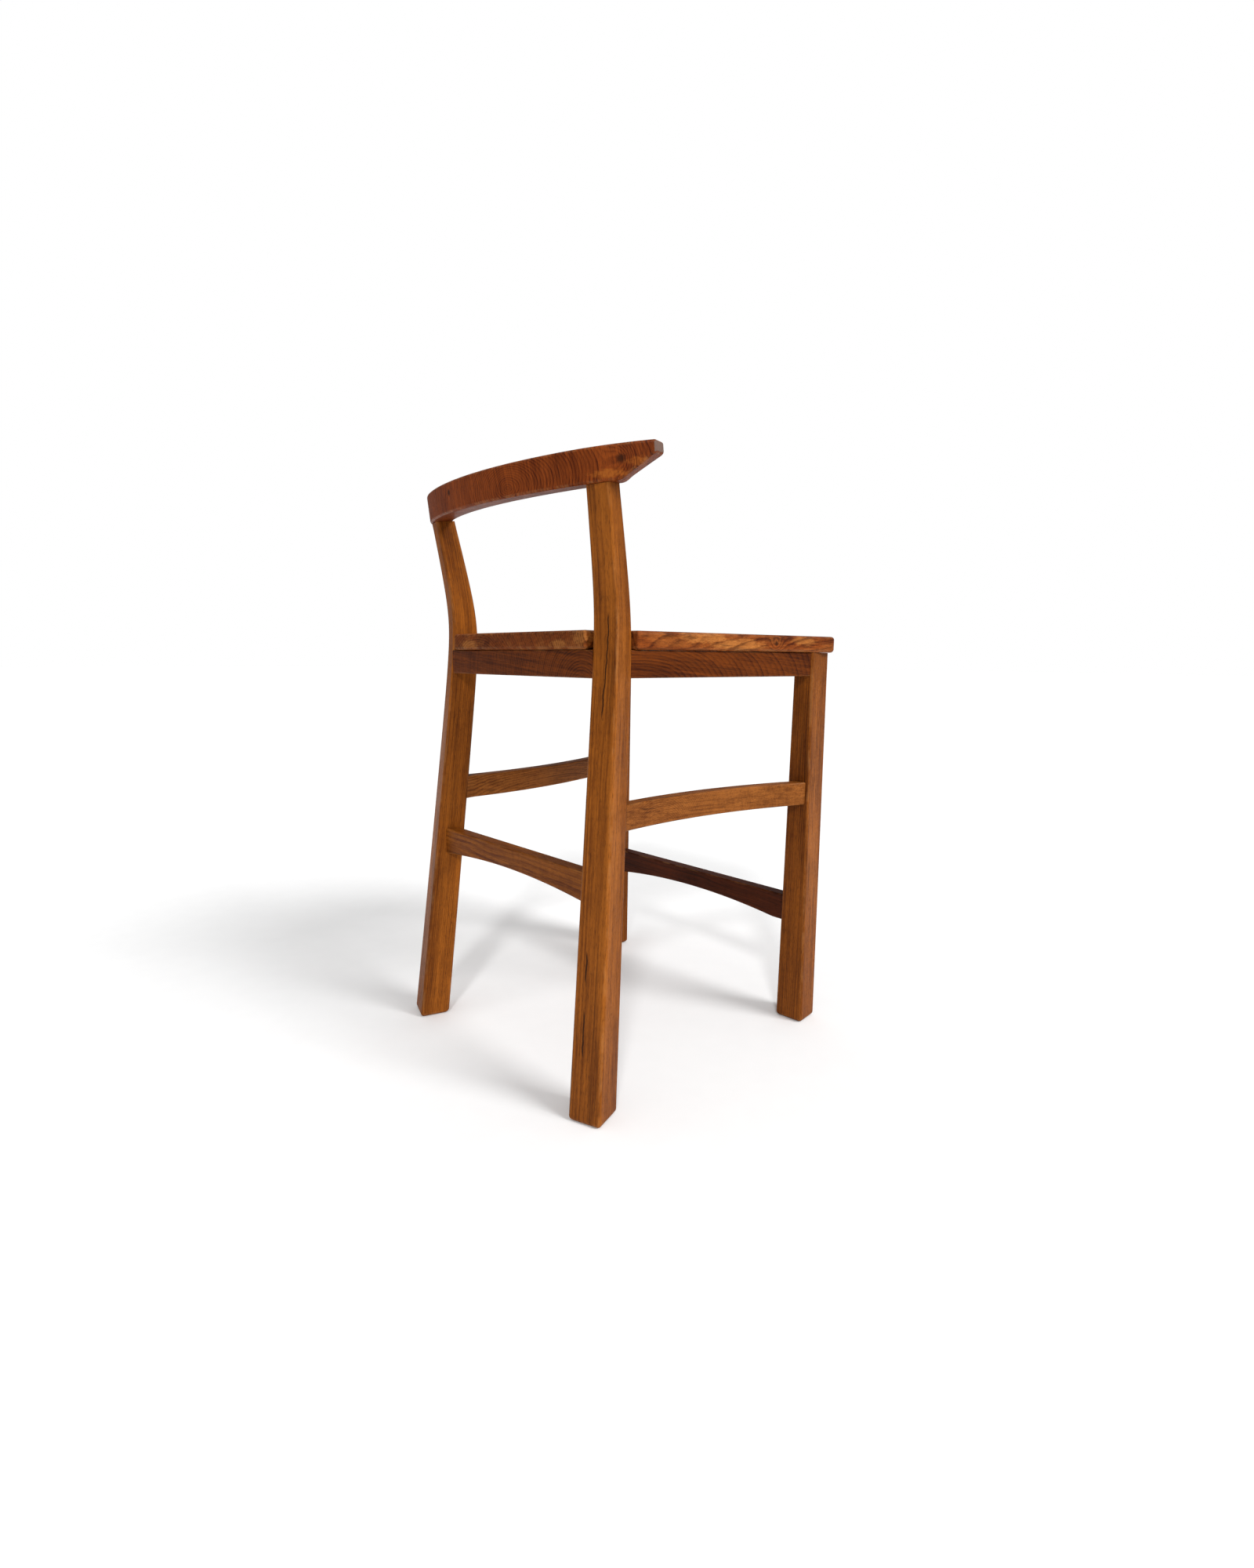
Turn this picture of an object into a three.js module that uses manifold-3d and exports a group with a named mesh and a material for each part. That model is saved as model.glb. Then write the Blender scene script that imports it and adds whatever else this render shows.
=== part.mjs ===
// Counter-height stool in solid hardwood: four shaped legs, a bowed crest rail on the two rear
// posts, a notched seat panel, an apron frame with screwed corner blocks, and four stretchers.
// Millimetres, +Z up. +X is the sitter's left, -Y is the front, and the floor is Z = 0.
import * as THREE from 'three';
import { mergeVertices } from 'three/addons/utils/BufferGeometryUtils.js';
import Module from 'manifold-3d';

const wasm = await Module();
wasm.setup();

// ---------- driving dimensions ----------
const GAP = 0.3; // clearance left in every joint
const EDGE_RADIUS = 3.5; // softened long edges
const SEAT_TOP = 645;
const SEAT_THICKNESS = 25;
const SEAT_BOTTOM = SEAT_TOP - SEAT_THICKNESS;

// Rear leg: one piece from the floor to the crest rail, with a soft knee just above the seat.
// Its path is that of the inner rear corner, and its section is turned about the vertical.
const REAR_TURN = THREE.MathUtils.degToRad(18.3);
const KNEE = { height: 666, softness: 50, x: 168.7, y: 195.6 };
const BACKWARD_SLOPE = { below: -0.1144, above: 0.1683 };
const OUTWARD_SLOPE = { below: -0.046, above: 0.0695 };
const REAR_SECTION = {
  heights: [0, SEAT_BOTTOM, 815],
  widths: [49.4, 37.4, 34],
  depths: [48, 41, 30],
};

// Front leg: nearly upright, wider at the foot on its outer side.
const FRONT_TURN = THREE.MathUtils.degToRad(4.5);
const FRONT_CORNER = { foot: { x: 210, y: -190.5 }, top: { x: 215, y: -193.5 } };
const FRONT_SECTION = { heights: [0, SEAT_BOTTOM], widths: [49, 32.4], depths: [45, 53] };
const FOOT_EASE = 4; // rounding of the foot ends
const POST_TENON = { width: 18, depth: 14, rise: 26, root: 12 };

// Crest rail: three arcs in a plane square to the leaning posts. It thins towards its ends, and
// past each post its underside sweeps up to a small mitred end face.
const RAIL = {
  height: 41, thickness: 35, endThickness: 28, edgeRadius: 6,
  backY: 261.5, topZ: 852, tilt: THREE.MathUtils.degToRad(7),
  middleRadius: 480, middleAngle: THREE.MathUtils.degToRad(20), armRadius: 258,
  thinStart: THREE.MathUtils.degToRad(28),
  sweepStart: THREE.MathUtils.degToRad(33.5), mitreStart: THREE.MathUtils.degToRad(37),
  endAngle: THREE.MathUtils.degToRad(44.5), endMitre: THREE.MathUtils.degToRad(20),
  tipHeight: 14, softStart: 0.22, arcSteps: 8, sweepSteps: 6,
};

// Seat and apron frame. The sides run out towards the front.
const SIDE_ANGLE = Math.atan(0.1525);
const SEAT = {
  rearY: 201, frontY: -252, sideX: 197, sideY: 150, cornerRadius: 14, edge: 4,
  notchMouthX: 160.5, notchGap: 2,
};
const DISH = { halfWidth: 175, halfDepth: 165, depth: 7, centreY: -35, rings: 4, sides: 28, over: 10 };
const APRON = {
  bottom: 583, thickness: 20, edge: 2, rearFaceY: 197.2, frontFaceY: -233, rearReach: 175, frontReach: 225,
};
const SIDE_APRON = { x: 191.5, rearReach: 175, frontReach: -199, rearJoint: 150, frontJoint: -193 };
const APRON_TENON = { thickness: 9, height: 24, crossDepth: 16, sideDepth: 15 };

// Stretchers. The front and rear ones are arched below, the side ones bow inwards.
const CROSS = {
  thickness: 22, edge: 2.5, endHeight: 45, arch: 13, archSpan: 186,
  topRear: 328, rearFaceY: 216, rearReach: 190,
  topFront: 214, frontFaceY: -201, frontReach: 222,
};
const SIDE = {
  thickness: 22, edge: 2.5, bottom: 376, height: 37, bow: 22,
  rearX: 190, rearY: 165, rearReach: 187, rearJoint: 172,
  frontX: 245, frontY: -191, frontReach: -209, frontJoint: -193,
};
const STRETCHER_TENON = {
  thickness: 12, inset: 5, rearDepth: 22, frontDepth: 20, sideRearDepth: 20, sideFrontDepth: 18,
};
const TENON_ROOT = 12; // length of each tenon that lies inside its own rail

// Corner blocks and their screws.
const BLOCK = {
  height: 30, drop: 2, reach: 62, clearance: 1.5, screwAt: 0.62, seatScrewAt: 0.45,
  headBack: 14, headSink: 2,
};
const SCREW = {
  headRadius: 4, headLip: 0.6, headHeight: 3.4, shankRadius: 2, tipRadius: 0.5, tipLength: 7,
  apronLength: 32, seatLength: 44, sides: 12, boreClearance: 0.5, boreOverlap: 0.1,
};
const BORE_DEPTH = { apron: 60, seat: 6 };

const UP = new THREE.Vector3(0, 0, 1);

// ---------- solids ----------
function signedVolume(geometry) {
  const position = geometry.getAttribute('position');
  const index = geometry.getIndex();
  const corner = [new THREE.Vector3(), new THREE.Vector3(), new THREE.Vector3()];
  let volume = 0;
  for (let i = 0; i < index.count; i += 3) {
    corner.forEach((point, k) => point.fromBufferAttribute(position, index.getX(i + k)));
    volume += corner[0].dot(corner[1].clone().cross(corner[2])) / 6;
  }
  return volume;
}

// A closed geometry, in shared vertices, as a solid that can be cut and joined.
function toSolid(geometry, matrix = new THREE.Matrix4()) {
  const plain = geometry.clone();
  plain.deleteAttribute('normal');
  plain.deleteAttribute('uv');
  plain.applyMatrix4(matrix);
  const merged = mergeVertices(plain, 1e-4);
  const triVerts = Uint32Array.from(merged.getIndex().array);
  if (signedVolume(merged) < 0) {
    triVerts.reverse();
  }
  const vertProperties = Float32Array.from(merged.getAttribute('position').array);
  return new wasm.Manifold(new wasm.Mesh({ numProp: 3, vertProperties, triVerts }));
}

function toGeometry(solid) {
  const { vertProperties, triVerts } = solid.getMesh();
  const geometry = new THREE.BufferGeometry();
  geometry.setAttribute('position', new THREE.BufferAttribute(Float32Array.from(vertProperties), 3));
  geometry.setIndex(Array.from(triVerts));
  geometry.computeVertexNormals();
  return geometry;
}

const cutAll = (solid, tools) => tools.reduce((rest, tool) => rest.subtract(tool), solid);
const addAll = (solid, pieces) => pieces.reduce((whole, piece) => whole.add(piece), solid);

// A skin through rings of the same number of points, closed by a fan at each end.
function loft(rings) {
  const size = rings[0].length;
  const points = rings.flat();
  const index = [];
  for (let r = 0; r < rings.length - 1; r += 1) {
    for (let k = 0; k < size; k += 1) {
      const a = r * size + k;
      const b = r * size + ((k + 1) % size);
      index.push(a, b, b + size, a, b + size, a + size);
    }
  }
  const last = (rings.length - 1) * size;
  for (let k = 1; k < size - 1; k += 1) {
    index.push(0, k + 1, k, last, last + k, last + k + 1);
  }
  const geometry = new THREE.BufferGeometry().setFromPoints(points);
  geometry.setIndex(index);
  return geometry;
}

// Points of a rounded rectangle about its centre, as [across, along] pairs.
function roundedRectangle(width, depth, radius, steps = 2) {
  const quadrants = [[1, 1], [-1, 1], [-1, -1], [1, -1]];
  return quadrants.flatMap(([sx, sy], quadrant) => {
    const corner = [];
    for (let i = 0; i <= steps; i += 1) {
      const angle = (quadrant + i / steps) * (Math.PI / 2);
      corner.push([
        sx * (width / 2 - radius) + radius * Math.cos(angle),
        sy * (depth / 2 - radius) + radius * Math.sin(angle),
      ]);
    }
    return corner;
  });
}

// A box with its centre at a point, turned about the vertical.
function box(centre, size, turn = 0) {
  const matrix = new THREE.Matrix4().makeRotationZ(turn).setPosition(centre);
  return toSolid(new THREE.BoxGeometry(...size), matrix);
}

// ---------- legs ----------
function between(height, { heights, widths, depths }) {
  let k = 0;
  while (k < heights.length - 2 && height > heights[k + 1]) k += 1;
  const t = (height - heights[k]) / (heights[k + 1] - heights[k]);
  return {
    width: THREE.MathUtils.lerp(widths[k], widths[k + 1], t),
    depth: THREE.MathUtils.lerp(depths[k], depths[k + 1], t),
  };
}

// Two straight slopes joined by a soft bend at the knee.
function bent(height, { below, above }) {
  const rise = height - KNEE.height;
  const bend = Math.hypot(rise, KNEE.softness) - KNEE.softness;
  return ((below + above) / 2) * rise + ((above - below) / 2) * bend;
}

function rearLegSection(height) {
  const corner = {
    x: KNEE.x + bent(height, OUTWARD_SLOPE),
    y: KNEE.y + bent(height, BACKWARD_SLOPE),
  };
  return { corner, turn: REAR_TURN, ...between(height, REAR_SECTION) };
}

function frontLegSection(height) {
  const { foot, top } = FRONT_CORNER;
  const corner = {
    x: THREE.MathUtils.mapLinear(height, 0, SEAT_BOTTOM, foot.x, top.x),
    y: THREE.MathUtils.mapLinear(height, 0, SEAT_BOTTOM, foot.y, top.y),
  };
  return { corner, turn: FRONT_TURN, ...between(height, FRONT_SECTION) };
}

// A section's four corners: inner rear, outer rear, outer front and inner front.
function sectionCorners({ corner, turn, width, depth }, side) {
  const across = new THREE.Vector2(Math.cos(turn), -Math.sin(turn)).multiplyScalar(width);
  const forward = new THREE.Vector2(-Math.sin(turn), -Math.cos(turn)).multiplyScalar(depth);
  const innerRear = new THREE.Vector2(corner.x, corner.y);
  const outerRear = innerRear.clone().add(across);
  const corners = [innerRear, outerRear, outerRear.clone().add(forward), innerRear.clone().add(forward)];
  return corners.map((point) => new THREE.Vector2(point.x * side, point.y));
}

function legRing(section, side, height, shrink, topPlane) {
  const [innerRear, outerRear, outerFront] = sectionCorners(section, 1);
  const centre = innerRear.clone().add(outerFront).multiplyScalar(0.5);
  const across = outerRear.clone().sub(innerRear).normalize();
  const along = outerRear.clone().sub(outerFront).normalize();
  const radius = Math.max(EDGE_RADIUS - shrink / 2, 1);
  const outline = roundedRectangle(section.width - 2 * shrink, section.depth - 2 * shrink, radius);
  return outline.map(([u, v]) => {
    const x = centre.x + u * across.x + v * along.x;
    const y = centre.y + u * across.y + v * along.y;
    return new THREE.Vector3(x * side, y, topPlane ? topPlane(y) : height);
  });
}

// The plane of the crest rail's underside, which the rear legs are cut to.
const railUndersideY = RAIL.backY - RAIL.height * Math.sin(RAIL.tilt);
const railUndersideZ = RAIL.topZ - RAIL.height * Math.cos(RAIL.tilt);
const railUnderside = (y) => railUndersideZ + (railUndersideY - y) * Math.tan(RAIL.tilt);

// With grow above zero this is the cutter that leaves a clearance round the leg.
function legSolid(sectionAt, side, heights, topPlane, grow = 0) {
  const eased = [[0, FOOT_EASE], [FOOT_EASE * 0.3, FOOT_EASE * 0.3], [FOOT_EASE, 0]];
  const rings = eased.map(([z, shrink]) => legRing(sectionAt(z), side, z, shrink - grow));
  heights.forEach((z) => rings.push(legRing(sectionAt(z), side, z, -grow)));
  if (topPlane) {
    const topHeight = topPlane(KNEE.y);
    rings.push(legRing(sectionAt(topHeight), side, topHeight, -grow, (y) => topPlane(y) - GAP));
  }
  return toSolid(loft(rings));
}

const REAR_HEIGHTS = [300, 540, 585, 615, 640, 665, 690, 715, 745, 780];
const FRONT_HEIGHTS = [SEAT_BOTTOM - GAP];
const rearLegSolid = (side, grow) => legSolid(rearLegSection, side, REAR_HEIGHTS, railUnderside, grow);
const frontLegSolid = (side, grow) => legSolid(frontLegSection, side, FRONT_HEIGHTS, null, grow);

// ---------- tenons ----------
// A tenon is a box across a joint. The mortise is the same box with the clearance added.
function tenon({ centre, size, turn = 0 }) {
  return box(centre, size, turn);
}
function mortise({ centre, size, turn = 0 }) {
  return box(centre, size.map((length) => length + 2 * GAP), turn);
}

const midpoint = (a, b, t = 0.5) => new THREE.Vector2().lerpVectors(a, b, t);

// Where a line of constant Y meets the leg's inner face at a height.
function innerFaceX(sectionAt, height, y) {
  const [innerRear, , , innerFront] = sectionCorners(sectionAt(height), 1);
  return THREE.MathUtils.mapLinear(y, innerRear.y, innerFront.y, innerRear.x, innerFront.x);
}

// A tenon along X into a leg, from inside the rail's end to its depth in the leg.
function crossTenon(sectionAt, side, centreY, centreZ, thickness, height, depth) {
  const faceX = innerFaceX(sectionAt, centreZ, centreY);
  const centre = new THREE.Vector3(side * (faceX + (depth - TENON_ROOT) / 2), centreY, centreZ);
  return { centre, size: [depth + TENON_ROOT, thickness, height] };
}

// A tenon along the side frame's direction, into the leg's face that looks towards the other leg.
function sideTenon(point, side, centreZ, thickness, height, depth, towardsRear) {
  const direction = new THREE.Vector2(-Math.sin(SIDE_ANGLE), Math.cos(SIDE_ANGLE));
  const shift = ((depth - TENON_ROOT) / 2) * (towardsRear ? 1 : -1);
  const centre = point.clone().addScaledVector(direction, shift);
  return {
    centre: new THREE.Vector3(side * centre.x, centre.y, centreZ),
    size: [thickness, depth + TENON_ROOT, height],
    turn: side * SIDE_ANGLE,
  };
}

// ---------- apron frame and stretchers ----------
const apronMiddle = (APRON.bottom + SEAT_BOTTOM - GAP) / 2;
const apronHeight = SEAT_BOTTOM - GAP - APRON.bottom;
const rearApronY = APRON.rearFaceY - APRON.thickness / 2;
const frontApronY = APRON.frontFaceY + APRON.thickness / 2;
const rearCrossY = CROSS.rearFaceY - CROSS.thickness / 2;
const frontCrossY = CROSS.frontFaceY - CROSS.thickness / 2;
const crossMiddle = (top) => top - CROSS.endHeight / 2;
const sideMiddle = SIDE.bottom + SIDE.height / 2;

// A point on a side apron's middle line at a given Y.
function sideApronPoint(y) {
  const middle = APRON.thickness / 2 / Math.cos(SIDE_ANGLE);
  return new THREE.Vector2(SIDE_APRON.x - middle + (SEAT.sideY - y) * Math.tan(SIDE_ANGLE), y);
}
// A point on a side stretcher's middle line, where its outer face is at X.
const sideEnd = (x, y) => new THREE.Vector2(x - SIDE.thickness / 2, y);
const crossHeight = CROSS.endHeight - 2 * STRETCHER_TENON.inset;
const sideHeight = SIDE.height - 2 * STRETCHER_TENON.inset;

const apronCross = (sectionAt, side, y) => crossTenon(
  sectionAt, side, y, apronMiddle, APRON_TENON.thickness, APRON_TENON.height, APRON_TENON.crossDepth);
const stretcherCross = (sectionAt, side, y, top, depth) => crossTenon(
  sectionAt, side, y, crossMiddle(top), STRETCHER_TENON.thickness, crossHeight, depth);
const apronSide = (side, y, towardsRear) => sideTenon(
  sideApronPoint(y), side, apronMiddle, APRON_TENON.thickness, APRON_TENON.height,
  APRON_TENON.sideDepth, towardsRear);
const stretcherSide = (side, point, depth, towardsRear) => sideTenon(
  point, side, sideMiddle, STRETCHER_TENON.thickness, sideHeight, depth, towardsRear);

const joints = {
  apron_rear: (side) => apronCross(rearLegSection, side, rearApronY),
  apron_front: (side) => apronCross(frontLegSection, side, frontApronY),
  stretcher_rear: (side) => stretcherCross(
    rearLegSection, side, rearCrossY, CROSS.topRear, STRETCHER_TENON.rearDepth),
  stretcher_front: (side) => stretcherCross(
    frontLegSection, side, frontCrossY, CROSS.topFront, STRETCHER_TENON.frontDepth),
  apron_side_rear: (side) => apronSide(side, SIDE_APRON.rearJoint, true),
  apron_side_front: (side) => apronSide(side, SIDE_APRON.frontJoint, false),
  stretcher_side_rear: (side) => stretcherSide(
    side, sideEnd(SIDE.rearX, SIDE.rearJoint), STRETCHER_TENON.sideRearDepth, true),
  stretcher_side_front: (side) => stretcherSide(
    side, sideEnd(SIDE.frontX, SIDE.frontJoint), STRETCHER_TENON.sideFrontDepth, false),
};

// The tenon on top of a rear leg, standing square to the rail's underside.
function postTenon(side, grow = 0) {
  const { width, depth, rise, root } = POST_TENON;
  const height = railUnderside(KNEE.y);
  const [innerRear, , outerFront] = sectionCorners(rearLegSection(height), 1);
  const centre = midpoint(innerRear, outerFront);
  const size = [width + 2 * grow, depth + 2 * grow, rise + root + 2 * grow];
  const matrix = new THREE.Matrix4()
    .makeTranslation(side * centre.x, centre.y, railUnderside(centre.y))
    .multiply(new THREE.Matrix4().makeRotationX(-RAIL.tilt))
    .multiply(new THREE.Matrix4().makeRotationZ(-side * REAR_TURN))
    .multiply(new THREE.Matrix4().makeTranslation(0, 0, (rise - root) / 2));
  return toSolid(new THREE.BoxGeometry(...size), matrix);
}

function rearLeg(side) {
  const inJoints = ['apron_rear', 'stretcher_rear', 'apron_side_rear', 'stretcher_side_rear'];
  const cut = cutAll(rearLegSolid(side), inJoints.map((name) => mortise(joints[name](side))));
  return cut.add(postTenon(side));
}

function frontLeg(side) {
  const inJoints = ['apron_front', 'stretcher_front', 'apron_side_front', 'stretcher_side_front'];
  return cutAll(frontLegSolid(side), inJoints.map((name) => mortise(joints[name](side))));
}

// An upright outline of a cross rail, extruded along Y with softened edges.
function crossBar(outline, rearFaceY, thickness, edge) {
  const geometry = new THREE.ExtrudeGeometry(outline, {
    depth: thickness - 2 * edge, bevelThickness: edge, bevelSize: edge, bevelOffset: -edge,
    bevelSegments: 2, steps: 1,
  });
  geometry.rotateX(Math.PI / 2);
  geometry.translate(0, rearFaceY - edge, 0);
  return toSolid(geometry);
}

const legCutters = {
  rear: [-1, 1].map((side) => rearLegSolid(side, GAP)),
  front: [-1, 1].map((side) => frontLegSolid(side, GAP)),
};

function crossApron(which, rearFaceY, reach) {
  const outline = new THREE.Shape([
    new THREE.Vector2(-reach, APRON.bottom), new THREE.Vector2(reach, APRON.bottom),
    new THREE.Vector2(reach, SEAT_BOTTOM - GAP), new THREE.Vector2(-reach, SEAT_BOTTOM - GAP),
  ]);
  const bar = crossBar(outline, rearFaceY, APRON.thickness, APRON.edge);
  const ends = [-1, 1].map((side) => tenon(joints[`apron_${which}`](side)));
  return addAll(cutAll(bar, legCutters[which]), ends);
}

// Straight on top, with an arc cut out of the underside.
function crossStretcher(which, top, rearFaceY, reach) {
  const span = CROSS.archSpan;
  const radius = (span ** 2 + CROSS.arch ** 2) / (2 * CROSS.arch);
  const half = Math.asin(span / radius);
  const bottom = top - CROSS.endHeight;
  const outline = new THREE.Shape();
  outline.moveTo(-reach, bottom);
  outline.lineTo(-span, bottom);
  outline.absarc(0, bottom + CROSS.arch - radius, radius, Math.PI / 2 + half, Math.PI / 2 - half, true);
  outline.lineTo(reach, bottom);
  outline.lineTo(reach, top);
  outline.lineTo(-reach, top);
  const points = outline.getPoints(10);
  const bar = crossBar(new THREE.Shape(points), rearFaceY, CROSS.thickness, CROSS.edge);
  const ends = [-1, 1].map((side) => tenon(joints[`stretcher_${which}`](side)));
  return addAll(cutAll(bar, legCutters[which]), ends);
}

// Both leg cutters on one side of the stool.
const sideCutters = (side) => [legCutters.rear, legCutters.front].map((pair) => pair[side > 0 ? 1 : 0]);

function sideApron(side) {
  const halfThickness = APRON.thickness / 2;
  const rear = sideApronPoint(SIDE_APRON.rearReach);
  const front = sideApronPoint(SIDE_APRON.frontReach);
  const across = new THREE.Vector2(Math.cos(SIDE_ANGLE), Math.sin(SIDE_ANGLE));
  const offset = (point, distance) => point.clone().addScaledVector(across, distance);
  const corners = [
    offset(rear, halfThickness), offset(front, halfThickness),
    offset(front, -halfThickness), offset(rear, -halfThickness),
  ];
  const outline = new THREE.Shape(corners.map((point) => new THREE.Vector2(side * point.x, point.y)));
  const geometry = new THREE.ExtrudeGeometry(outline, {
    depth: apronHeight - 2 * APRON.edge, bevelThickness: APRON.edge, bevelSize: APRON.edge,
    bevelOffset: -APRON.edge, bevelSegments: 2, steps: 1,
  });
  geometry.translate(0, 0, APRON.bottom + APRON.edge);
  const ends = [tenon(joints.apron_side_rear(side)), tenon(joints.apron_side_front(side))];
  return addAll(cutAll(toSolid(geometry), sideCutters(side)), ends);
}

// Bowed towards the middle of the stool, of constant height.
function sideStretcher(side) {
  const steps = 12;
  const slope = (SIDE.rearX - SIDE.frontX) / (SIDE.rearY - SIDE.frontY);
  const outerX = (y) => {
    const t = (SIDE.rearY - y) / (SIDE.rearY - SIDE.frontY);
    const bow = t > 0 && t < 1 ? 4 * SIDE.bow * t * (1 - t) : 0;
    return SIDE.rearX + slope * (y - SIDE.rearY) - bow;
  };
  const run = [SIDE.rearReach];
  for (let i = 0; i <= steps; i += 1) {
    run.push(THREE.MathUtils.lerp(SIDE.rearY, SIDE.frontY, i / steps));
  }
  run.push(SIDE.frontReach);
  const outer = run.map((y) => new THREE.Vector2(side * outerX(y), y));
  const inner = run.map((y) => new THREE.Vector2(side * (outerX(y) - SIDE.thickness), y));
  const geometry = new THREE.ExtrudeGeometry(new THREE.Shape([...outer, ...inner.reverse()]), {
    depth: SIDE.height - 2 * SIDE.edge, bevelThickness: SIDE.edge, bevelSize: SIDE.edge,
    bevelOffset: -SIDE.edge, bevelSegments: 2, steps: 1,
  });
  geometry.translate(0, 0, SIDE.bottom + SIDE.edge);
  const ends = [tenon(joints.stretcher_side_rear(side)), tenon(joints.stretcher_side_front(side))];
  return addAll(cutAll(toSolid(geometry), sideCutters(side)), ends);
}

// ---------- crest rail ----------
// Plan of the rail's outer face: distance from the middle and depth forward, at a turning angle.
function railPlan(angle) {
  const turn = Math.abs(angle);
  const middle = Math.min(turn, RAIL.middleAngle);
  const arm = Math.max(turn, RAIL.middleAngle);
  const armSine = Math.sin(arm) - Math.sin(RAIL.middleAngle);
  const armDrop = Math.cos(RAIL.middleAngle) - Math.cos(arm);
  return {
    x: Math.sign(angle) * (RAIL.middleRadius * Math.sin(middle) + RAIL.armRadius * armSine),
    forward: RAIL.middleRadius * (1 - Math.cos(middle)) + RAIL.armRadius * armDrop,
  };
}

// A point of the rail's tilted plane, with a distance below its top.
function railPoint(x, forward, below) {
  const { tilt } = RAIL;
  return new THREE.Vector3(
    x,
    RAIL.backY - forward * Math.cos(tilt) - below * Math.sin(tilt),
    RAIL.topZ + forward * Math.sin(tilt) - below * Math.cos(tilt),
  );
}

// The underside sweeps up to a small end face beyond each post.
function railHeight(angle) {
  const t = THREE.MathUtils.clamp(
    (Math.abs(angle) - RAIL.sweepStart) / (RAIL.endAngle - RAIL.sweepStart), 0, 1);
  const { softStart } = RAIL;
  const eased = t < softStart ? t ** 2 / (2 * softStart) : t - softStart / 2;
  return RAIL.height - ((RAIL.height - RAIL.tipHeight) * eased) / (1 - softStart / 2);
}

// Angles of the rail's sections: wide steps along the arcs, and close ones in the sweeps.
function railAngles() {
  const half = [];
  for (let i = 0; i < RAIL.arcSteps; i += 1) {
    half.push((RAIL.sweepStart * i) / RAIL.arcSteps);
  }
  for (let i = 0; i <= RAIL.sweepSteps; i += 1) {
    half.push(THREE.MathUtils.lerp(RAIL.sweepStart, RAIL.endAngle, i / RAIL.sweepSteps));
  }
  return [...half.slice(1).reverse().map((angle) => -angle), ...half];
}

function railSection(angle) {
  const turn = Math.abs(angle);
  const mitreTurn = Math.max(turn - RAIL.mitreStart, 0) / (RAIL.endAngle - RAIL.mitreStart);
  const facing = angle - Math.sign(angle) * mitreTurn * RAIL.endMitre;
  const stretch = 1 / Math.cos(facing - angle);
  const height = railHeight(angle);
  const thinning = Math.max(turn - RAIL.thinStart, 0) / (RAIL.endAngle - RAIL.thinStart);
  const thickness = THREE.MathUtils.lerp(RAIL.thickness, RAIL.endThickness, thinning);
  const radius = Math.min(RAIL.edgeRadius, height * 0.4);
  const { x, forward } = railPlan(angle);
  return roundedRectangle(thickness, height, radius).map(([u, v]) => {
    const inward = (thickness / 2 - u) * stretch;
    return railPoint(
      x - inward * Math.sin(facing), forward + inward * Math.cos(facing), height / 2 - v);
  });
}

function crestRail() {
  const rings = railAngles().map(railSection);
  return cutAll(toSolid(loft(rings)), [postTenon(-1, GAP), postTenon(1, GAP)]);
}

// ---------- seat ----------
const seatSideX = (y) => SEAT.sideX + (SEAT.sideY - y) * Math.tan(SIDE_ANGLE);

// Half of the outline, from the middle of the rear edge round to the middle of the front edge.
function seatHalf() {
  const section = rearLegSection((SEAT_TOP + SEAT_BOTTOM) / 2);
  const across = new THREE.Vector2(Math.cos(REAR_TURN), -Math.sin(REAR_TURN));
  const back = new THREE.Vector2(Math.sin(REAR_TURN), Math.cos(REAR_TURN));
  const [innerRear, , outerFront, innerFront] = sectionCorners(section, 1);
  const slip = SEAT.notchGap;
  const notchInner = innerFront.clone().addScaledVector(across, -slip).addScaledVector(back, -slip);
  const overEdge = (seatSideX(outerFront.y) - notchInner.x) / across.x;
  const notchOuter = notchInner.clone().addScaledVector(across, overEdge);
  notchOuter.x = seatSideX(notchOuter.y);
  const corner = new THREE.Vector2(seatSideX(SEAT.frontY), SEAT.frontY);
  const round = SEAT.cornerRadius;
  const shape = new THREE.Shape();
  shape.moveTo(0, SEAT.rearY);
  shape.lineTo(SEAT.notchMouthX, SEAT.rearY);
  shape.lineTo(notchInner.x, notchInner.y);
  shape.lineTo(notchOuter.x, notchOuter.y);
  shape.lineTo(seatSideX(SEAT.frontY + round), SEAT.frontY + round);
  shape.quadraticCurveTo(corner.x, corner.y, corner.x - round, SEAT.frontY);
  shape.lineTo(0, SEAT.frontY);
  return shape.getPoints(4);
}

function seatPanel() {
  const { edge } = SEAT;
  const half = seatHalf();
  const mirrored = half.slice(1, -1).reverse().map((point) => new THREE.Vector2(-point.x, point.y));
  const geometry = new THREE.ExtrudeGeometry(new THREE.Shape([...half, ...mirrored]), {
    depth: SEAT_THICKNESS - 2 * edge, bevelThickness: edge, bevelSize: edge, bevelOffset: -edge,
    bevelSegments: 2, steps: 1,
  });
  geometry.translate(0, 0, SEAT_BOTTOM + edge);
  const screws = blocks.map(({ seatScrew }) => screwHole(seatScrew));
  return cutAll(toSolid(geometry), [dishCutter(), ...screws]);
}

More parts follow.
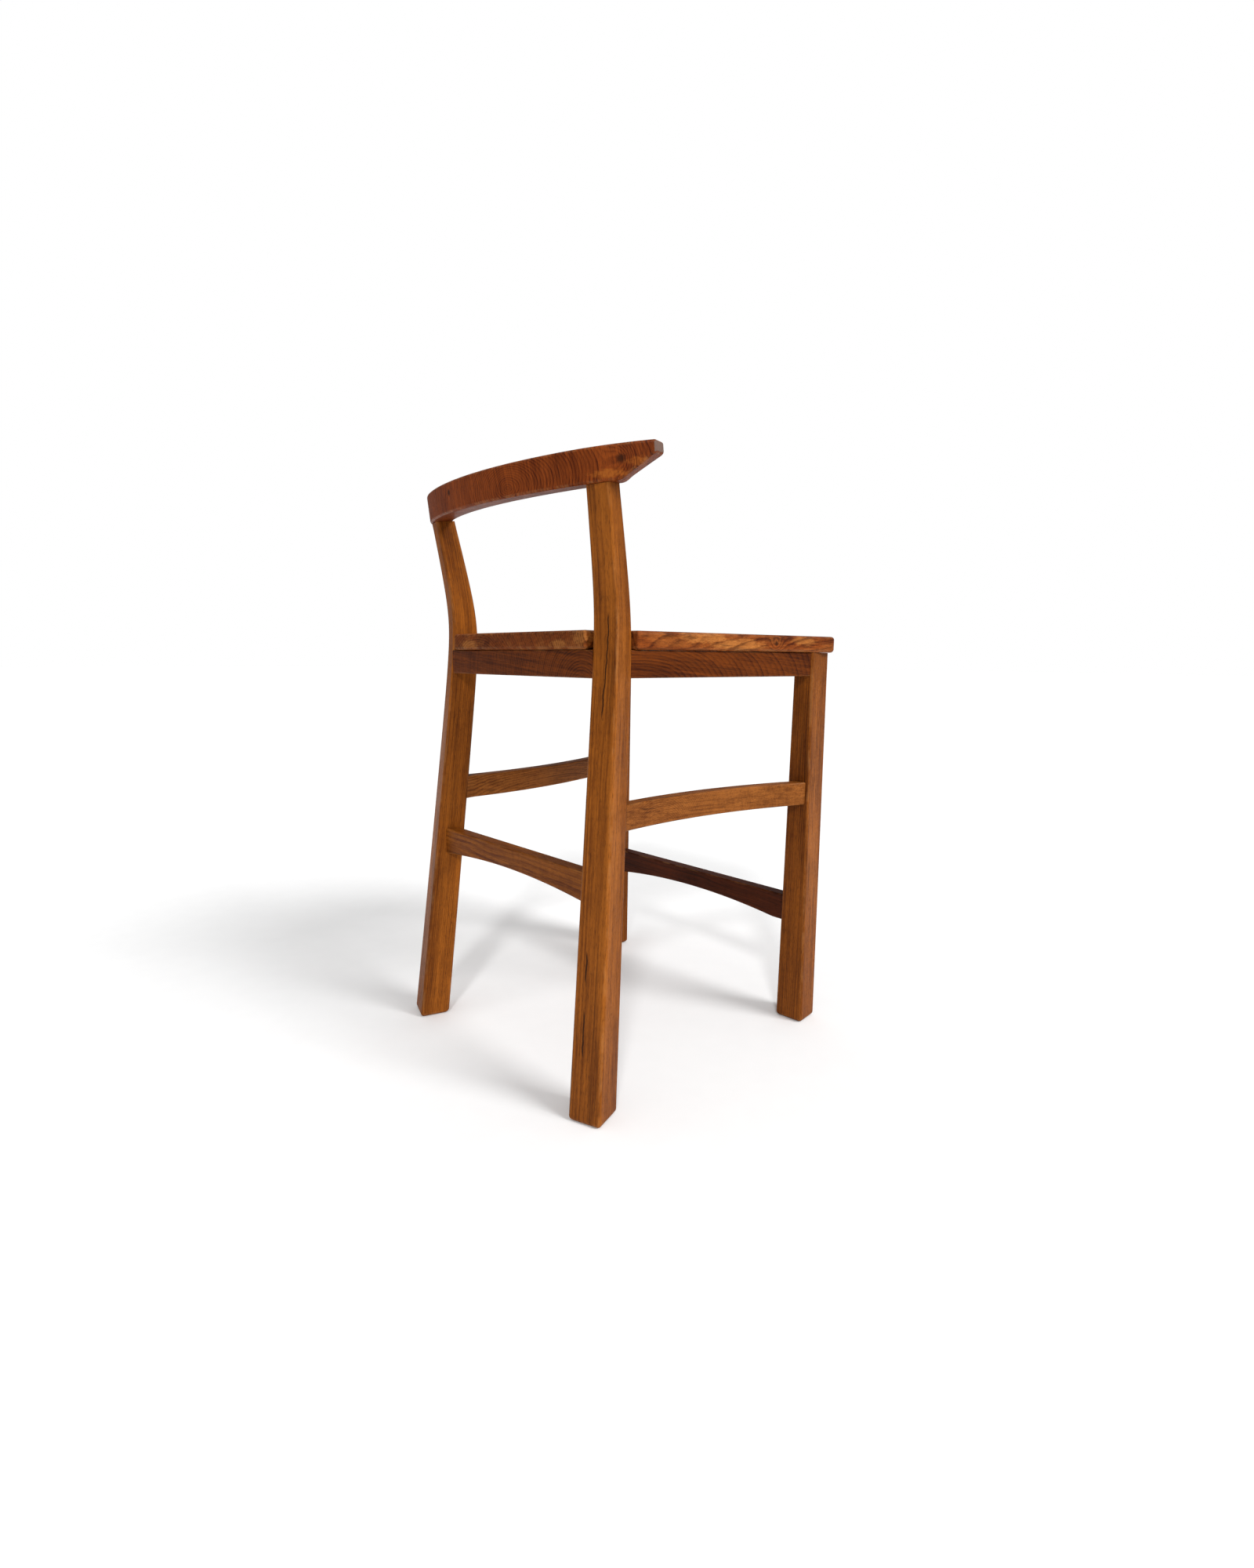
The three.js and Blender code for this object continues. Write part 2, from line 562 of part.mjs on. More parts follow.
// A shallow bowl: a cap of a large sphere, squashed front to back.
function dishCutter() {
  const radius = (DISH.halfWidth ** 2 + DISH.depth ** 2) / (2 * DISH.depth);
  const half = Math.asin(DISH.halfWidth / radius);
  const profile = [new THREE.Vector2(0, SEAT_TOP - DISH.depth)];
  for (let i = 1; i <= DISH.rings; i += 1) {
    const angle = (half * i) / DISH.rings;
    const rise = radius * (1 - Math.cos(angle));
    profile.push(new THREE.Vector2(radius * Math.sin(angle), SEAT_TOP - DISH.depth + rise));
  }
  const lid = SEAT_TOP + DISH.over;
  profile.push(new THREE.Vector2(DISH.halfWidth, lid), new THREE.Vector2(0, lid));
  const cap = new THREE.LatheGeometry(profile, DISH.sides);
  cap.rotateX(Math.PI / 2);
  cap.scale(1, DISH.halfDepth / DISH.halfWidth, 1);
  cap.translate(0, DISH.centreY, 0);
  return toSolid(cap);
}

// ---------- corner blocks and screws ----------
// The block's plan in a corner of the apron frame, on the +X side, with its notch round the leg.
function blockPlan(end) {
  const isRear = end === 'rear';
  const crossY = isRear ? APRON.rearFaceY - APRON.thickness - GAP : APRON.frontFaceY + APRON.thickness + GAP;
  const sideInnerX = (y) => sideApronPoint(y).x - (APRON.thickness / 2 + GAP) / Math.cos(SIDE_ANGLE);
  const corners = sectionCorners((isRear ? rearLegSection : frontLegSection)(apronMiddle), 1);
  const inward = isRear ? -1 : 1;
  const legCorner = isRear ? corners[3] : corners[0];
  const facing = (isRear ? rearLegSection : frontLegSection)(apronMiddle).turn;
  const slip = BLOCK.clearance;
  const notch = new THREE.Vector2(legCorner.x - slip, legCorner.y + inward * slip);
  const legFace = (x) => notch.y - (x - notch.x) * Math.tan(facing);
  const onCross = new THREE.Vector2(notch.x + (crossY - notch.y) * Math.tan(facing), crossY);
  const farCross = new THREE.Vector2(onCross.x - BLOCK.reach, crossY);
  const sideStartY = legFace(sideInnerX(notch.y));
  const onSide = new THREE.Vector2(sideInnerX(sideStartY), sideStartY);
  const farY = sideStartY + inward * BLOCK.reach;
  const farSide = new THREE.Vector2(sideInnerX(farY), farY);
  return { onCross, farCross, farSide, onSide, notch, inward };
}

const blockBottom = SEAT_BOTTOM - BLOCK.drop - BLOCK.height;

// A screw's frame: the point under its head, and the direction in which it is driven.
function blockLayout(side, end) {
  const { onCross, farCross, farSide, onSide, notch, inward } = blockPlan(end);
  const mirror = (point) => new THREE.Vector2(side * point.x, point.y);
  const height = blockBottom + BLOCK.height / 2;
  const crossPoint = midpoint(onCross, farCross, BLOCK.screwAt);
  const crossHead = new THREE.Vector3(side * crossPoint.x, crossPoint.y + inward * BLOCK.headBack, height);
  const sidePoint = midpoint(onSide, farSide, BLOCK.screwAt);
  const outward = new THREE.Vector2(Math.cos(SIDE_ANGLE), Math.sin(SIDE_ANGLE));
  const sideHead = sidePoint.clone().addScaledVector(outward, -BLOCK.headBack);
  const middle = midpoint(notch, midpoint(farCross, farSide), BLOCK.seatScrewAt);
  return {
    side, end,
    outline: [onCross, farCross, farSide, onSide, notch].map(mirror),
    crossScrew: {
      head: crossHead, direction: new THREE.Vector3(0, -inward, 0), length: SCREW.apronLength,
    },
    sideScrew: {
      head: new THREE.Vector3(side * sideHead.x, sideHead.y, height),
      direction: new THREE.Vector3(side * outward.x, outward.y, 0), length: SCREW.apronLength,
    },
    seatScrew: {
      head: new THREE.Vector3(side * middle.x, middle.y, blockBottom + BLOCK.headSink),
      direction: UP, length: SCREW.seatLength,
    },
  };
}

function screwMatrix({ head, direction }) {
  const turn = new THREE.Quaternion().setFromUnitVectors(UP, direction);
  return new THREE.Matrix4().compose(head, turn, new THREE.Vector3(1, 1, 1));
}

// Countersunk wood screw, head at its origin and driven along +Z.
function screwGeometry(length, grow = 0) {
  const { headRadius, headLip, headHeight, shankRadius, tipRadius, tipLength } = SCREW;
  const profile = [
    [0, -grow], [headRadius + grow, -grow], [headRadius + grow, headLip],
    [shankRadius + grow, headHeight], [shankRadius + grow, length - tipLength],
    [tipRadius + grow, length], [0, length + grow],
  ];
  const outline = profile.map(([r, z]) => new THREE.Vector2(r, z));
  const lathe = new THREE.LatheGeometry(outline, SCREW.sides);
  lathe.rotateX(Math.PI / 2);
  return lathe;
}

const screwHole = (screw) => toSolid(screwGeometry(screw.length, GAP), screwMatrix(screw));

// The hole that the head goes in by, from its seat out through the block's open face.
function headHole(screw, depth) {
  const radius = SCREW.headRadius + SCREW.boreClearance;
  const bore = new THREE.CylinderGeometry(radius, radius, depth, SCREW.sides);
  bore.rotateX(Math.PI / 2);
  bore.translate(0, 0, SCREW.boreOverlap - depth / 2);
  return toSolid(bore, screwMatrix(screw));
}

const blocks = [];
['rear', 'front'].forEach((end) => [1, -1].forEach((side) => blocks.push(blockLayout(side, end))));

function cornerBlock({ outline, crossScrew, sideScrew, seatScrew }) {
  const geometry = new THREE.ExtrudeGeometry(new THREE.Shape(outline), {
    depth: BLOCK.height, bevelEnabled: false, steps: 1,
  });
  geometry.translate(0, 0, blockBottom);
  const screws = [crossScrew, sideScrew, seatScrew];
  return cutAll(toSolid(geometry), [
    ...screws.map(screwHole),
    headHole(crossScrew, BORE_DEPTH.apron), headHole(sideScrew, BORE_DEPTH.apron),
    headHole(seatScrew, BORE_DEPTH.seat),
  ]);
}

// ---------- materials ----------
function wood(colour, roughness) {
  return new THREE.MeshStandardMaterial({ color: new THREE.Color(colour), roughness, metalness: 0 });
}
const materials = {
  leg: wood('#8a4a1c', 0.42),
  rail: wood('#7a2f14', 0.38),
  seat: wood('#8c3f1a', 0.4),
  apron: wood('#7a3f1b', 0.45),
  stretcher: wood('#8f5423', 0.45),
  block: wood('#a5794a', 0.7),
  screw: new THREE.MeshStandardMaterial({ color: new THREE.Color('#b8a26a'), roughness: 0.35, metalness: 1 }),
};

// ---------- assembly ----------
const stool = new THREE.Group();
const sideName = (side) => (side > 0 ? 'left' : 'right');

function addPiece(name, solid, material) {
  const piece = new THREE.Mesh(toGeometry(solid), material);
  piece.name = name;
  stool.add(piece);
}

// The screws' holes in an apron, by the screw that goes into it.
const screwsInto = (which, side) => blocks
  .filter((block) => (which === 'left_or_right' ? block.side === side : block.end === which))
  .map((block) => screwHole(which === 'left_or_right' ? block.sideScrew : block.crossScrew));

[1, -1].forEach((side) => {
  addPiece(`rear_leg_${sideName(side)}`, rearLeg(side), materials.leg);
  addPiece(`front_leg_${sideName(side)}`, frontLeg(side), materials.leg);
  addPiece(`stretcher_${sideName(side)}`, sideStretcher(side), materials.stretcher);
  const apron = cutAll(sideApron(side), screwsInto('left_or_right', side));
  addPiece(`apron_${sideName(side)}`, apron, materials.apron);
});
const crossAprons = {
  rear: crossApron('rear', APRON.rearFaceY, APRON.rearReach),
  front: crossApron('front', APRON.frontFaceY + APRON.thickness, APRON.frontReach),
};
const crossStretchers = {
  rear: crossStretcher('rear', CROSS.topRear, CROSS.rearFaceY, CROSS.rearReach),
  front: crossStretcher('front', CROSS.topFront, CROSS.frontFaceY, CROSS.frontReach),
};
['rear', 'front'].forEach((end) => {
  addPiece(`apron_${end}`, cutAll(crossAprons[end], screwsInto(end)), materials.apron);
  addPiece(`stretcher_${end}`, crossStretchers[end], materials.stretcher);
});
addPiece('crest_rail', crestRail(), materials.rail);
addPiece('seat_panel', seatPanel(), materials.seat);

blocks.forEach((block) => {
  const place = `${block.end}_${sideName(block.side)}`;
  addPiece(`corner_block_${place}`, cornerBlock(block), materials.block);
  ['crossScrew', 'sideScrew', 'seatScrew'].forEach((kind) => {
    const { length } = block[kind];
    const screw = new THREE.Mesh(toGeometry(toSolid(screwGeometry(length))), materials.screw);
    screw.applyMatrix4(screwMatrix(block[kind]));
    screw.name = `${kind.replace('Screw', '_screw')}_${place}`;
    stool.add(screw);
  });
});

// The origin goes to the middle of the footprint, on the floor.
stool.updateMatrixWorld(true);
const extent = new THREE.Box3().setFromObject(stool, true);
stool.position.y = -(extent.min.y + extent.max.y) / 2;

export default stool;
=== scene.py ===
"""A counter-height hardwood stool with a low bowed crest rail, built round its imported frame.

Metres, +Z up, -Y is the front and +X is the sitter's left. The wooden pieces are rebuilt with fine
edges, arcs and grain. The corner blocks and screws keep their CAD meshes and get new materials.
"""

import math

import bpy
import numpy as np
from mathutils import Matrix, Vector


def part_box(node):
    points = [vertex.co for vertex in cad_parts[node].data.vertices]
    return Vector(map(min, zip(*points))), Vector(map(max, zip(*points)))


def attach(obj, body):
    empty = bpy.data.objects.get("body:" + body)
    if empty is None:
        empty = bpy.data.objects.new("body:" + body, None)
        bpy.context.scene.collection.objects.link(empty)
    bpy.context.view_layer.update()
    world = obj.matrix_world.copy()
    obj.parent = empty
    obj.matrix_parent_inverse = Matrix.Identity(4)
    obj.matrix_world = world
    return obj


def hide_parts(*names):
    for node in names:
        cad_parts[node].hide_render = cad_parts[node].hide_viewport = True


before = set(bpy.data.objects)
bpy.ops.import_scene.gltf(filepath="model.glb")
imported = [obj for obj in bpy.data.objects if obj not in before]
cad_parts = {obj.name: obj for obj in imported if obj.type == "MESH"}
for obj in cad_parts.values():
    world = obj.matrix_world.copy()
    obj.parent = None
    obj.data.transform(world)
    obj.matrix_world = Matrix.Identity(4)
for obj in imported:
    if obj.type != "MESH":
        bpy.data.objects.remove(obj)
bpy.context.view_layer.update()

# ---------- driving dimensions ----------
# The shapes are worked out about the design's own origin, and SHIFT_Y takes them to the frame's.
SEAT_LOW, SEAT_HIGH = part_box("seat_panel")
SEAT_TOP = SEAT_HIGH.z
SEAT_BOTTOM = SEAT_LOW.z
SEAT_FRONT = -0.252
SHIFT_Y = SEAT_LOW.y - SEAT_FRONT
JOINT = 0.0003  # hairline between pieces that only touch
LET_IN = 0.0015  # how far a rail's end goes into a leg's face
EDGE_RADIUS = 0.0045  # softened long edges
LEAST_RADIUS = 0.001
ARC_STEPS = 6  # segments in each softened corner
BAR_STEPS = 48  # segments along an apron or stretcher
SHARP = math.radians(38)  # edges that turn more than this stay sharp

# Rear leg: the path of its inner rear corner bends softly at the knee.
REAR_TURN = math.radians(18.3)
KNEE = {"z": 0.666, "softness": 0.050, "x": 0.1687, "y": 0.1956}
BACKWARD_SLOPE = (-0.1144, 0.1683)
OUTWARD_SLOPE = (-0.046, 0.0695)
REAR_HEIGHTS = (0, 0.620, 0.815)
REAR_WIDTHS = (0.0494, 0.0374, 0.034)
REAR_DEPTHS = (0.048, 0.041, 0.030)

# Front leg.
FRONT_TURN = math.radians(4.5)
FRONT_HEIGHTS = (0, 0.620)
FRONT_X = (0.210, 0.215)
FRONT_Y = (-0.1905, -0.1935)
FRONT_WIDTHS = (0.049, 0.0324)
FRONT_DEPTHS = (0.045, 0.053)
FOOT_EASE = 0.007
FOOT_STEPS = 6
LEG_STEPS = 72
FOOT_WEAR = 0.7

# Crest rail: three arcs in a plane square to the leaning posts.
RAIL_HEIGHT = 0.041
RAIL_THICKNESS = 0.035
RAIL_END_THICKNESS = 0.028
RAIL_BACK_Y = 0.2615
RAIL_TOP = 0.852
RAIL_TILT = math.radians(7)
RAIL_MIDDLE_RADIUS = 0.480
RAIL_MIDDLE_ANGLE = math.radians(20)
RAIL_ARM_RADIUS = 0.258
RAIL_THIN_START = math.radians(28)
RAIL_SWEEP_START = math.radians(33.5)
RAIL_MITRE_START = math.radians(37)
RAIL_END_ANGLE = math.radians(44.5)
RAIL_END_MITRE = math.radians(20)
RAIL_TIP_HEIGHT = 0.014
RAIL_SOFT_START = 0.22
RAIL_EDGE = 0.0038
RAIL_EDGE_SHARE = 0.4  # the most of the rail's height that its softened edge takes
RAIL_STEPS = 60  # in each half
RAIL_TIP_EASE = 0.0022
RAIL_TIP_START = 0.985  # share of the half rail at which its tip begins to ease
RAIL_TIP_STEPS = 5
RAIL_TIP_WEAR = 0.8

# Seat, aprons and stretchers.
SIDE_SLOPE = 0.1525
SEAT_REAR = 0.201
SEAT_SIDE = (0.197, 0.150)  # x of the side edge at this y
SEAT_EDGE = 0.0052
SEAT_EDGE_STEPS = 7
SEAT_TOP_STEPS = 34
SEAT_CORNER = 0.0045  # plan radius of the rear corners
SEAT_FRONT_CORNER = 0.014
NOTCH_CORNER = 0.003
NOTCH_MOUTH_X = 0.1605
NOTCH_GAP = 0.002
DISH = {"x": 0.175, "y": 0.165, "depth": 0.007, "centre": -0.035, "fall": 1.5}
APRON_BOTTOM = 0.583
APRON_TOP = SEAT_BOTTOM - JOINT
APRON_THICKNESS = 0.020
APRON_EDGE = 0.002
APRON_REAR_FACE = 0.1972
APRON_FRONT_FACE = -0.233
CROSS_THICKNESS = 0.022
CROSS_END_HEIGHT = 0.045
CROSS_ARCH = 0.013
CROSS_ARCH_SPAN = 0.186
CROSS_EDGE = 0.0027
REAR_CROSS = {"top": 0.328, "face": 0.216}
FRONT_CROSS = {"top": 0.214, "face": -0.201}

# The left side's two bars: a point of the outer face in plan, and how far x grows for each metre forward.
SIDE_APRON = {"x": 0.1915, "y": SEAT_SIDE[1], "slope": SIDE_SLOPE, "bow": 0, "thickness": APRON_THICKNESS,
              "bottom": APRON_BOTTOM, "top": APRON_TOP, "edge": APRON_EDGE}
BOW_ENDS = {"rear": (0.190, 0.165), "front": (0.245, -0.191)}
BOW_LENGTH = BOW_ENDS["rear"][1] - BOW_ENDS["front"][1]
SIDE_STRETCHER = {"x": BOW_ENDS["rear"][0], "y": BOW_ENDS["rear"][1],
                  "slope": (BOW_ENDS["front"][0] - BOW_ENDS["rear"][0]) / BOW_LENGTH, "bow": 0.022,
                  "thickness": CROSS_THICKNESS, "bottom": 0.376, "top": 0.376 + 0.037, "edge": CROSS_EDGE}


def lerp(a, b, t):
    return a + (b - a) * t


def clamp(value, low=0.0, high=1.0):
    return max(low, min(high, value))


# ---------- meshes ----------
def rounded_rectangle(width, depth, radius, flat_steps=4):
    """Points (u, v, edge share) of a rounded rectangle about its centre. The edge share is 1 in the middle of
    a corner, and the wood makes it pale as wear and as a painted highlight.
    """
    points = []
    signs = ((1, 1), (-1, 1), (-1, -1), (1, -1))
    for quadrant, (sx, sy) in enumerate(signs):
        centre = (sx * (width / 2 - radius), sy * (depth / 2 - radius))
        for step in range(ARC_STEPS + 1):
            angle = (quadrant + step / ARC_STEPS) * math.pi / 2
            edge_share = math.sin(math.pi * step / ARC_STEPS)
            u = centre[0] + radius * math.cos(angle)
            v = centre[1] + radius * math.sin(angle)
            points.append((u, v, edge_share))
    filled = []
    for index, point in enumerate(points):
        filled.append(point)
        if index % (ARC_STEPS + 1) == ARC_STEPS:
            following = points[(index + 1) % len(points)]
            for step in range(1, flat_steps):
                t = step / flat_steps
                filled.append((lerp(point[0], following[0], t), lerp(point[1], following[1], t), 0.0))
    return filled


def skin(rings):
    """Vertices and faces of a closed skin through rings of equal length, with a cap at each end."""
    size = len(rings[0])
    vertices = [point for ring in rings for point in ring]
    faces = []
    for ring in range(len(rings) - 1):
        for k in range(size):
            a = ring * size + k
            b = ring * size + (k + 1) % size
            faces.append((a, b, b + size, a + size))
    faces.append(tuple(reversed(range(size))))
    faces.append(tuple(range((len(rings) - 1) * size, len(rings) * size)))
    return vertices, faces


def signed_volume(vertices, faces):
    """Positive where the faces look outwards."""
    points = np.array(vertices, float)
    volume = 0.0
    for face in faces:
        for k in range(1, len(face) - 1):
            a, b, c = points[face[0]], points[face[k]], points[face[k + 1]]
            volume += np.dot(a, np.cross(b, c)) / 6
    return volume


def add_piece(node, rings, edge_wear_and_highlight, material):
    """A smooth-shaded piece that stands for a CAD node. Its last argument holds each vertex's share of the
    rounded edges, which the wood makes pale as wear and as a painted highlight.
    """
    vertices, faces = skin(rings)
    placed = [(x, y + SHIFT_Y, z) for x, y, z in vertices]
    if signed_volume(placed, faces) < 0:
        faces = [tuple(reversed(face)) for face in faces]
    mesh = bpy.data.meshes.new(node + "_wood")
    mesh.from_pydata(placed, [], faces)
    mesh.validate()
    # the rounded edges' shares, which the wood makes pale as wear and as a painted highlight
    mesh.attributes.new("edge_wear_and_highlight", "FLOAT", "POINT").data.foreach_set("value", np.array(edge_wear_and_highlight, np.float32))
    mesh.shade_smooth()
    mesh.set_sharp_from_angle(angle=SHARP)
    mesh.materials.append(material)
    piece = bpy.data.objects.new(node + "_wood", mesh)
    bpy.context.scene.collection.objects.link(piece)
    weighted = piece.modifiers.new("flat_faces_stay_flat", "WEIGHTED_NORMAL")
    weighted.keep_sharp = True
    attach(piece, "root")
    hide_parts(node)


# ---------- legs ----------
def bent(z, slopes):
    """Two straight slopes joined by a soft bend at the knee."""
    below, above = slopes
    rise = z - KNEE["z"]
    bend = math.hypot(rise, KNEE["softness"]) - KNEE["softness"]
    return (below + above) / 2 * rise + (above - below) / 2 * bend


def rear_section(z):
    """Inner rear corner, turn, width and depth of the left rear leg at a height."""
    corner = (KNEE["x"] + bent(z, OUTWARD_SLOPE), KNEE["y"] + bent(z, BACKWARD_SLOPE))
    width = float(np.interp(z, REAR_HEIGHTS, REAR_WIDTHS))
    depth = float(np.interp(z, REAR_HEIGHTS, REAR_DEPTHS))
    if z > REAR_HEIGHTS[-1]:
        share = (z - REAR_HEIGHTS[1]) / (REAR_HEIGHTS[2] - REAR_HEIGHTS[1])
        width = lerp(REAR_WIDTHS[1], REAR_WIDTHS[2], share)
        depth = lerp(REAR_DEPTHS[1], REAR_DEPTHS[2], share)
    return corner, REAR_TURN, width, depth


def front_section(z):
    """The same for the left front leg."""
    corner = (float(np.interp(z, FRONT_HEIGHTS, FRONT_X)), float(np.interp(z, FRONT_HEIGHTS, FRONT_Y)))
    width = float(np.interp(z, FRONT_HEIGHTS, FRONT_WIDTHS))
    depth = float(np.interp(z, FRONT_HEIGHTS, FRONT_DEPTHS))
    return corner, FRONT_TURN, width, depth


def section_axes(turn):
    """Unit vectors in plan: outwards across a left leg, and forwards along it."""
    return (math.cos(turn), -math.sin(turn)), (-math.sin(turn), -math.cos(turn))


def leg_ring(section, side, z, inset, top_plane=None):
    """One ring of a leg's skin, and each point's share of the rounded edges, for edge wear and a painted
    highlight. top_plane gives the height at each y instead of z.
    """
    corner, turn, width, depth = section
    across, forward = section_axes(turn)
    centre = [corner[i] + across[i] * width / 2 + forward[i] * depth / 2 for i in (0, 1)]
    radius = max(EDGE_RADIUS - inset / 2, LEAST_RADIUS)
    ring = []
    edge_wear_and_highlight = []
    for u, v, edge_share in rounded_rectangle(width - 2 * inset, depth - 2 * inset, radius):
        x = centre[0] + u * across[0] - v * forward[0]
        y = centre[1] + u * across[1] - v * forward[1]
        ring.append((x * side, y, top_plane(y) if top_plane else z))
        edge_wear_and_highlight.append(edge_share)
    return ring, edge_wear_and_highlight


RAIL_UNDER_Y = RAIL_BACK_Y - RAIL_HEIGHT * math.sin(RAIL_TILT)
RAIL_UNDER_Z = RAIL_TOP - RAIL_HEIGHT * math.cos(RAIL_TILT)


def rail_underside(y):
    """Height of the crest rail's leaning underside."""
    return RAIL_UNDER_Z + (RAIL_UNDER_Y - y) * math.tan(RAIL_TILT)


POST_TOP = rail_underside(KNEE["y"])  # where the section that meets the rail is taken


def leg(node, section_at, side, top, top_plane, material):
    """A leg from its eased foot to a flat or slanting top."""
    rings = []
    edge_wear_and_highlight = []
    for step in range(FOOT_STEPS):
        angle = step / FOOT_STEPS * math.pi / 2
        z = FOOT_EASE * (1 - math.cos(angle))
        ring, edge_share = leg_ring(section_at(z), side, z, FOOT_EASE * (1 - math.sin(angle)))
        rings.append(ring)
        edge_wear_and_highlight += [max(w, FOOT_WEAR) for w in edge_share]
    for step in range(LEG_STEPS):
        z = lerp(FOOT_EASE, top, step / LEG_STEPS)
        ring, edge_share = leg_ring(section_at(z), side, z, 0)
        rings.append(ring)
        edge_wear_and_highlight += edge_share
    ring, edge_share = leg_ring(section_at(top), side, top, 0, top_plane)
    rings.append(ring)
    edge_wear_and_highlight += edge_share
    add_piece(node, rings, edge_wear_and_highlight, material)


# ---------- rails between the legs ----------
def inner_face_x(section_at, z, y):
    """X of a left leg's inner face at a height and Y."""
    corner, turn, _, _ = section_at(z)
    return corner[0] + (y - corner[1]) * math.tan(turn)


def cross_bar(node, section_at, bar, material):
    """A rail along X between two legs, each end following the leg's inner face."""
    rings = []
    edge_wear_and_highlight = []
    top = bar["top"]
    middle_y = bar["face"] - bar["thickness"] / 2
    reach = inner_face_x(section_at, top, middle_y)
    for step in range(BAR_STEPS + 1):
        t = lerp(-1, 1, step / BAR_STEPS)
        bottom = bar["bottom_at"](t * reach)
        ring = []
        for u, v, edge_share in rounded_rectangle(bar["thickness"], top - bottom, bar["edge"]):
            y = middle_y + u
            z = (top + bottom) / 2 + v
            x = t * (inner_face_x(section_at, z, y) + LET_IN)
            ring.append((x, y, z))
            edge_wear_and_highlight.append(edge_share)
        rings.append(ring)
    add_piece(node, rings, edge_wear_and_highlight, material)


def arch_bottom(top):
    """The underside of a cross stretcher: an arc between two short flats."""
    bottom = top - CROSS_END_HEIGHT
    radius = (CROSS_ARCH_SPAN ** 2 + CROSS_ARCH ** 2) / (2 * CROSS_ARCH)

    def at(x):
        if abs(x) >= CROSS_ARCH_SPAN:
            return bottom
        return bottom + CROSS_ARCH - radius + math.sqrt(radius ** 2 - x ** 2)
    return at


def side_bar(node, side, bar, material):
    """A rail from the front leg's rear face to the rear leg's front face, bowed inwards."""
    length = math.hypot(bar["slope"], 1)
    run = (-bar["slope"] / length, 1 / length)
    rings = []
    edge_wear_and_highlight = []
    for step in range(BAR_STEPS + 1):
        ring = []
        for u, v, edge_share in rounded_rectangle(bar["thickness"], bar["top"] - bar["bottom"], bar["edge"]):
            z = (bar["top"] + bar["bottom"]) / 2 + v
            start = (bar["x"] - bar["thickness"] / 2 + u, bar["y"])
            reach_rear = face_distance(rear_section(z), start, run, True) + LET_IN
            reach_front = face_distance(front_section(z), start, run, False) - LET_IN
            along = lerp(reach_front, reach_rear, step / BAR_STEPS)
            x = start[0] + run[0] * along
            y = start[1] + run[1] * along
            share = clamp((BOW_ENDS["rear"][1] - y) / BOW_LENGTH)
            x -= 4 * bar["bow"] * share * (1 - share)
            ring.append((side * x, y, z))
            edge_wear_and_highlight.append(edge_share)
        rings.append(ring)
    add_piece(node, rings, edge_wear_and_highlight, material)


def face_distance(section, start, run, towards_rear):
    """How far along run a line from start meets a left leg's front face or rear face."""
    corner, turn, _, depth = section
    _, forward = section_axes(turn)
    shift = depth if towards_rear else 0
    on_face = (corner[0] + forward[0] * shift, corner[1] + forward[1] * shift)
    gap = (on_face[0] - start[0]) * forward[0] + (on_face[1] - start[1]) * forward[1]
    return gap / (run[0] * forward[0] + run[1] * forward[1])


# ---------- crest rail ----------
def rail_plan(angle):
    """Distance from the middle and depth forward of the rail's outer face at a turning angle."""
    turn = abs(angle)
    middle = min(turn, RAIL_MIDDLE_ANGLE)
    arm = max(turn, RAIL_MIDDLE_ANGLE)
    x = RAIL_MIDDLE_RADIUS * math.sin(middle)
    x += RAIL_ARM_RADIUS * (math.sin(arm) - math.sin(RAIL_MIDDLE_ANGLE))
    forward = RAIL_MIDDLE_RADIUS * (1 - math.cos(middle))
    forward += RAIL_ARM_RADIUS * (math.cos(RAIL_MIDDLE_ANGLE) - math.cos(arm))
    return math.copysign(x, angle), forward


def rail_point(x, forward, below):
    """A place from its x, its distance forward in the rail's plane, and its distance below the rail's top."""
    return (x,
            RAIL_BACK_Y - forward * math.cos(RAIL_TILT) - below * math.sin(RAIL_TILT),
            RAIL_TOP + forward * math.sin(RAIL_TILT) - below * math.cos(RAIL_TILT))


def rail_height(turn):
    """The rail's height at a turning angle: even, then swept down to the tip."""
    t = clamp((turn - RAIL_SWEEP_START) / (RAIL_END_ANGLE - RAIL_SWEEP_START))
    eased = t ** 2 / (2 * RAIL_SOFT_START) if t < RAIL_SOFT_START else t - RAIL_SOFT_START / 2
    return RAIL_HEIGHT - (RAIL_HEIGHT - RAIL_TIP_HEIGHT) * eased / (1 - RAIL_SOFT_START / 2)


def rail_ring(angle, inset):
    """One ring of the rail's skin, and each point's share of the rounded edges, for edge wear and a painted
    highlight. Towards the tips the rings turn to the tips' mitre.
    """
    turn = abs(angle)
    mitre = max(turn - RAIL_MITRE_START, 0) / (RAIL_END_ANGLE - RAIL_MITRE_START)
    facing = angle - math.copysign(mitre * RAIL_END_MITRE, angle)
    stretch = 1 / math.cos(facing - angle)
    height = rail_height(turn)
    thinning = max(turn - RAIL_THIN_START, 0) / (RAIL_END_ANGLE - RAIL_THIN_START)
    thickness = lerp(RAIL_THICKNESS, RAIL_END_THICKNESS, thinning)
    radius = max(min(RAIL_EDGE, height * RAIL_EDGE_SHARE) - inset, LEAST_RADIUS)
    x, forward = rail_plan(angle)
    ring = []
    edge_wear_and_highlight = []
    for u, v, edge_share in rounded_rectangle(thickness - 2 * inset, height - 2 * inset, radius):
        inward = (thickness / 2 - u) * stretch
        across = x - inward * math.sin(facing)
        ring.append(rail_point(across, forward + inward * math.cos(facing), height / 2 - v))
        edge_wear_and_highlight.append(max(edge_share, RAIL_TIP_WEAR if inset else 0))
    return ring, edge_wear_and_highlight


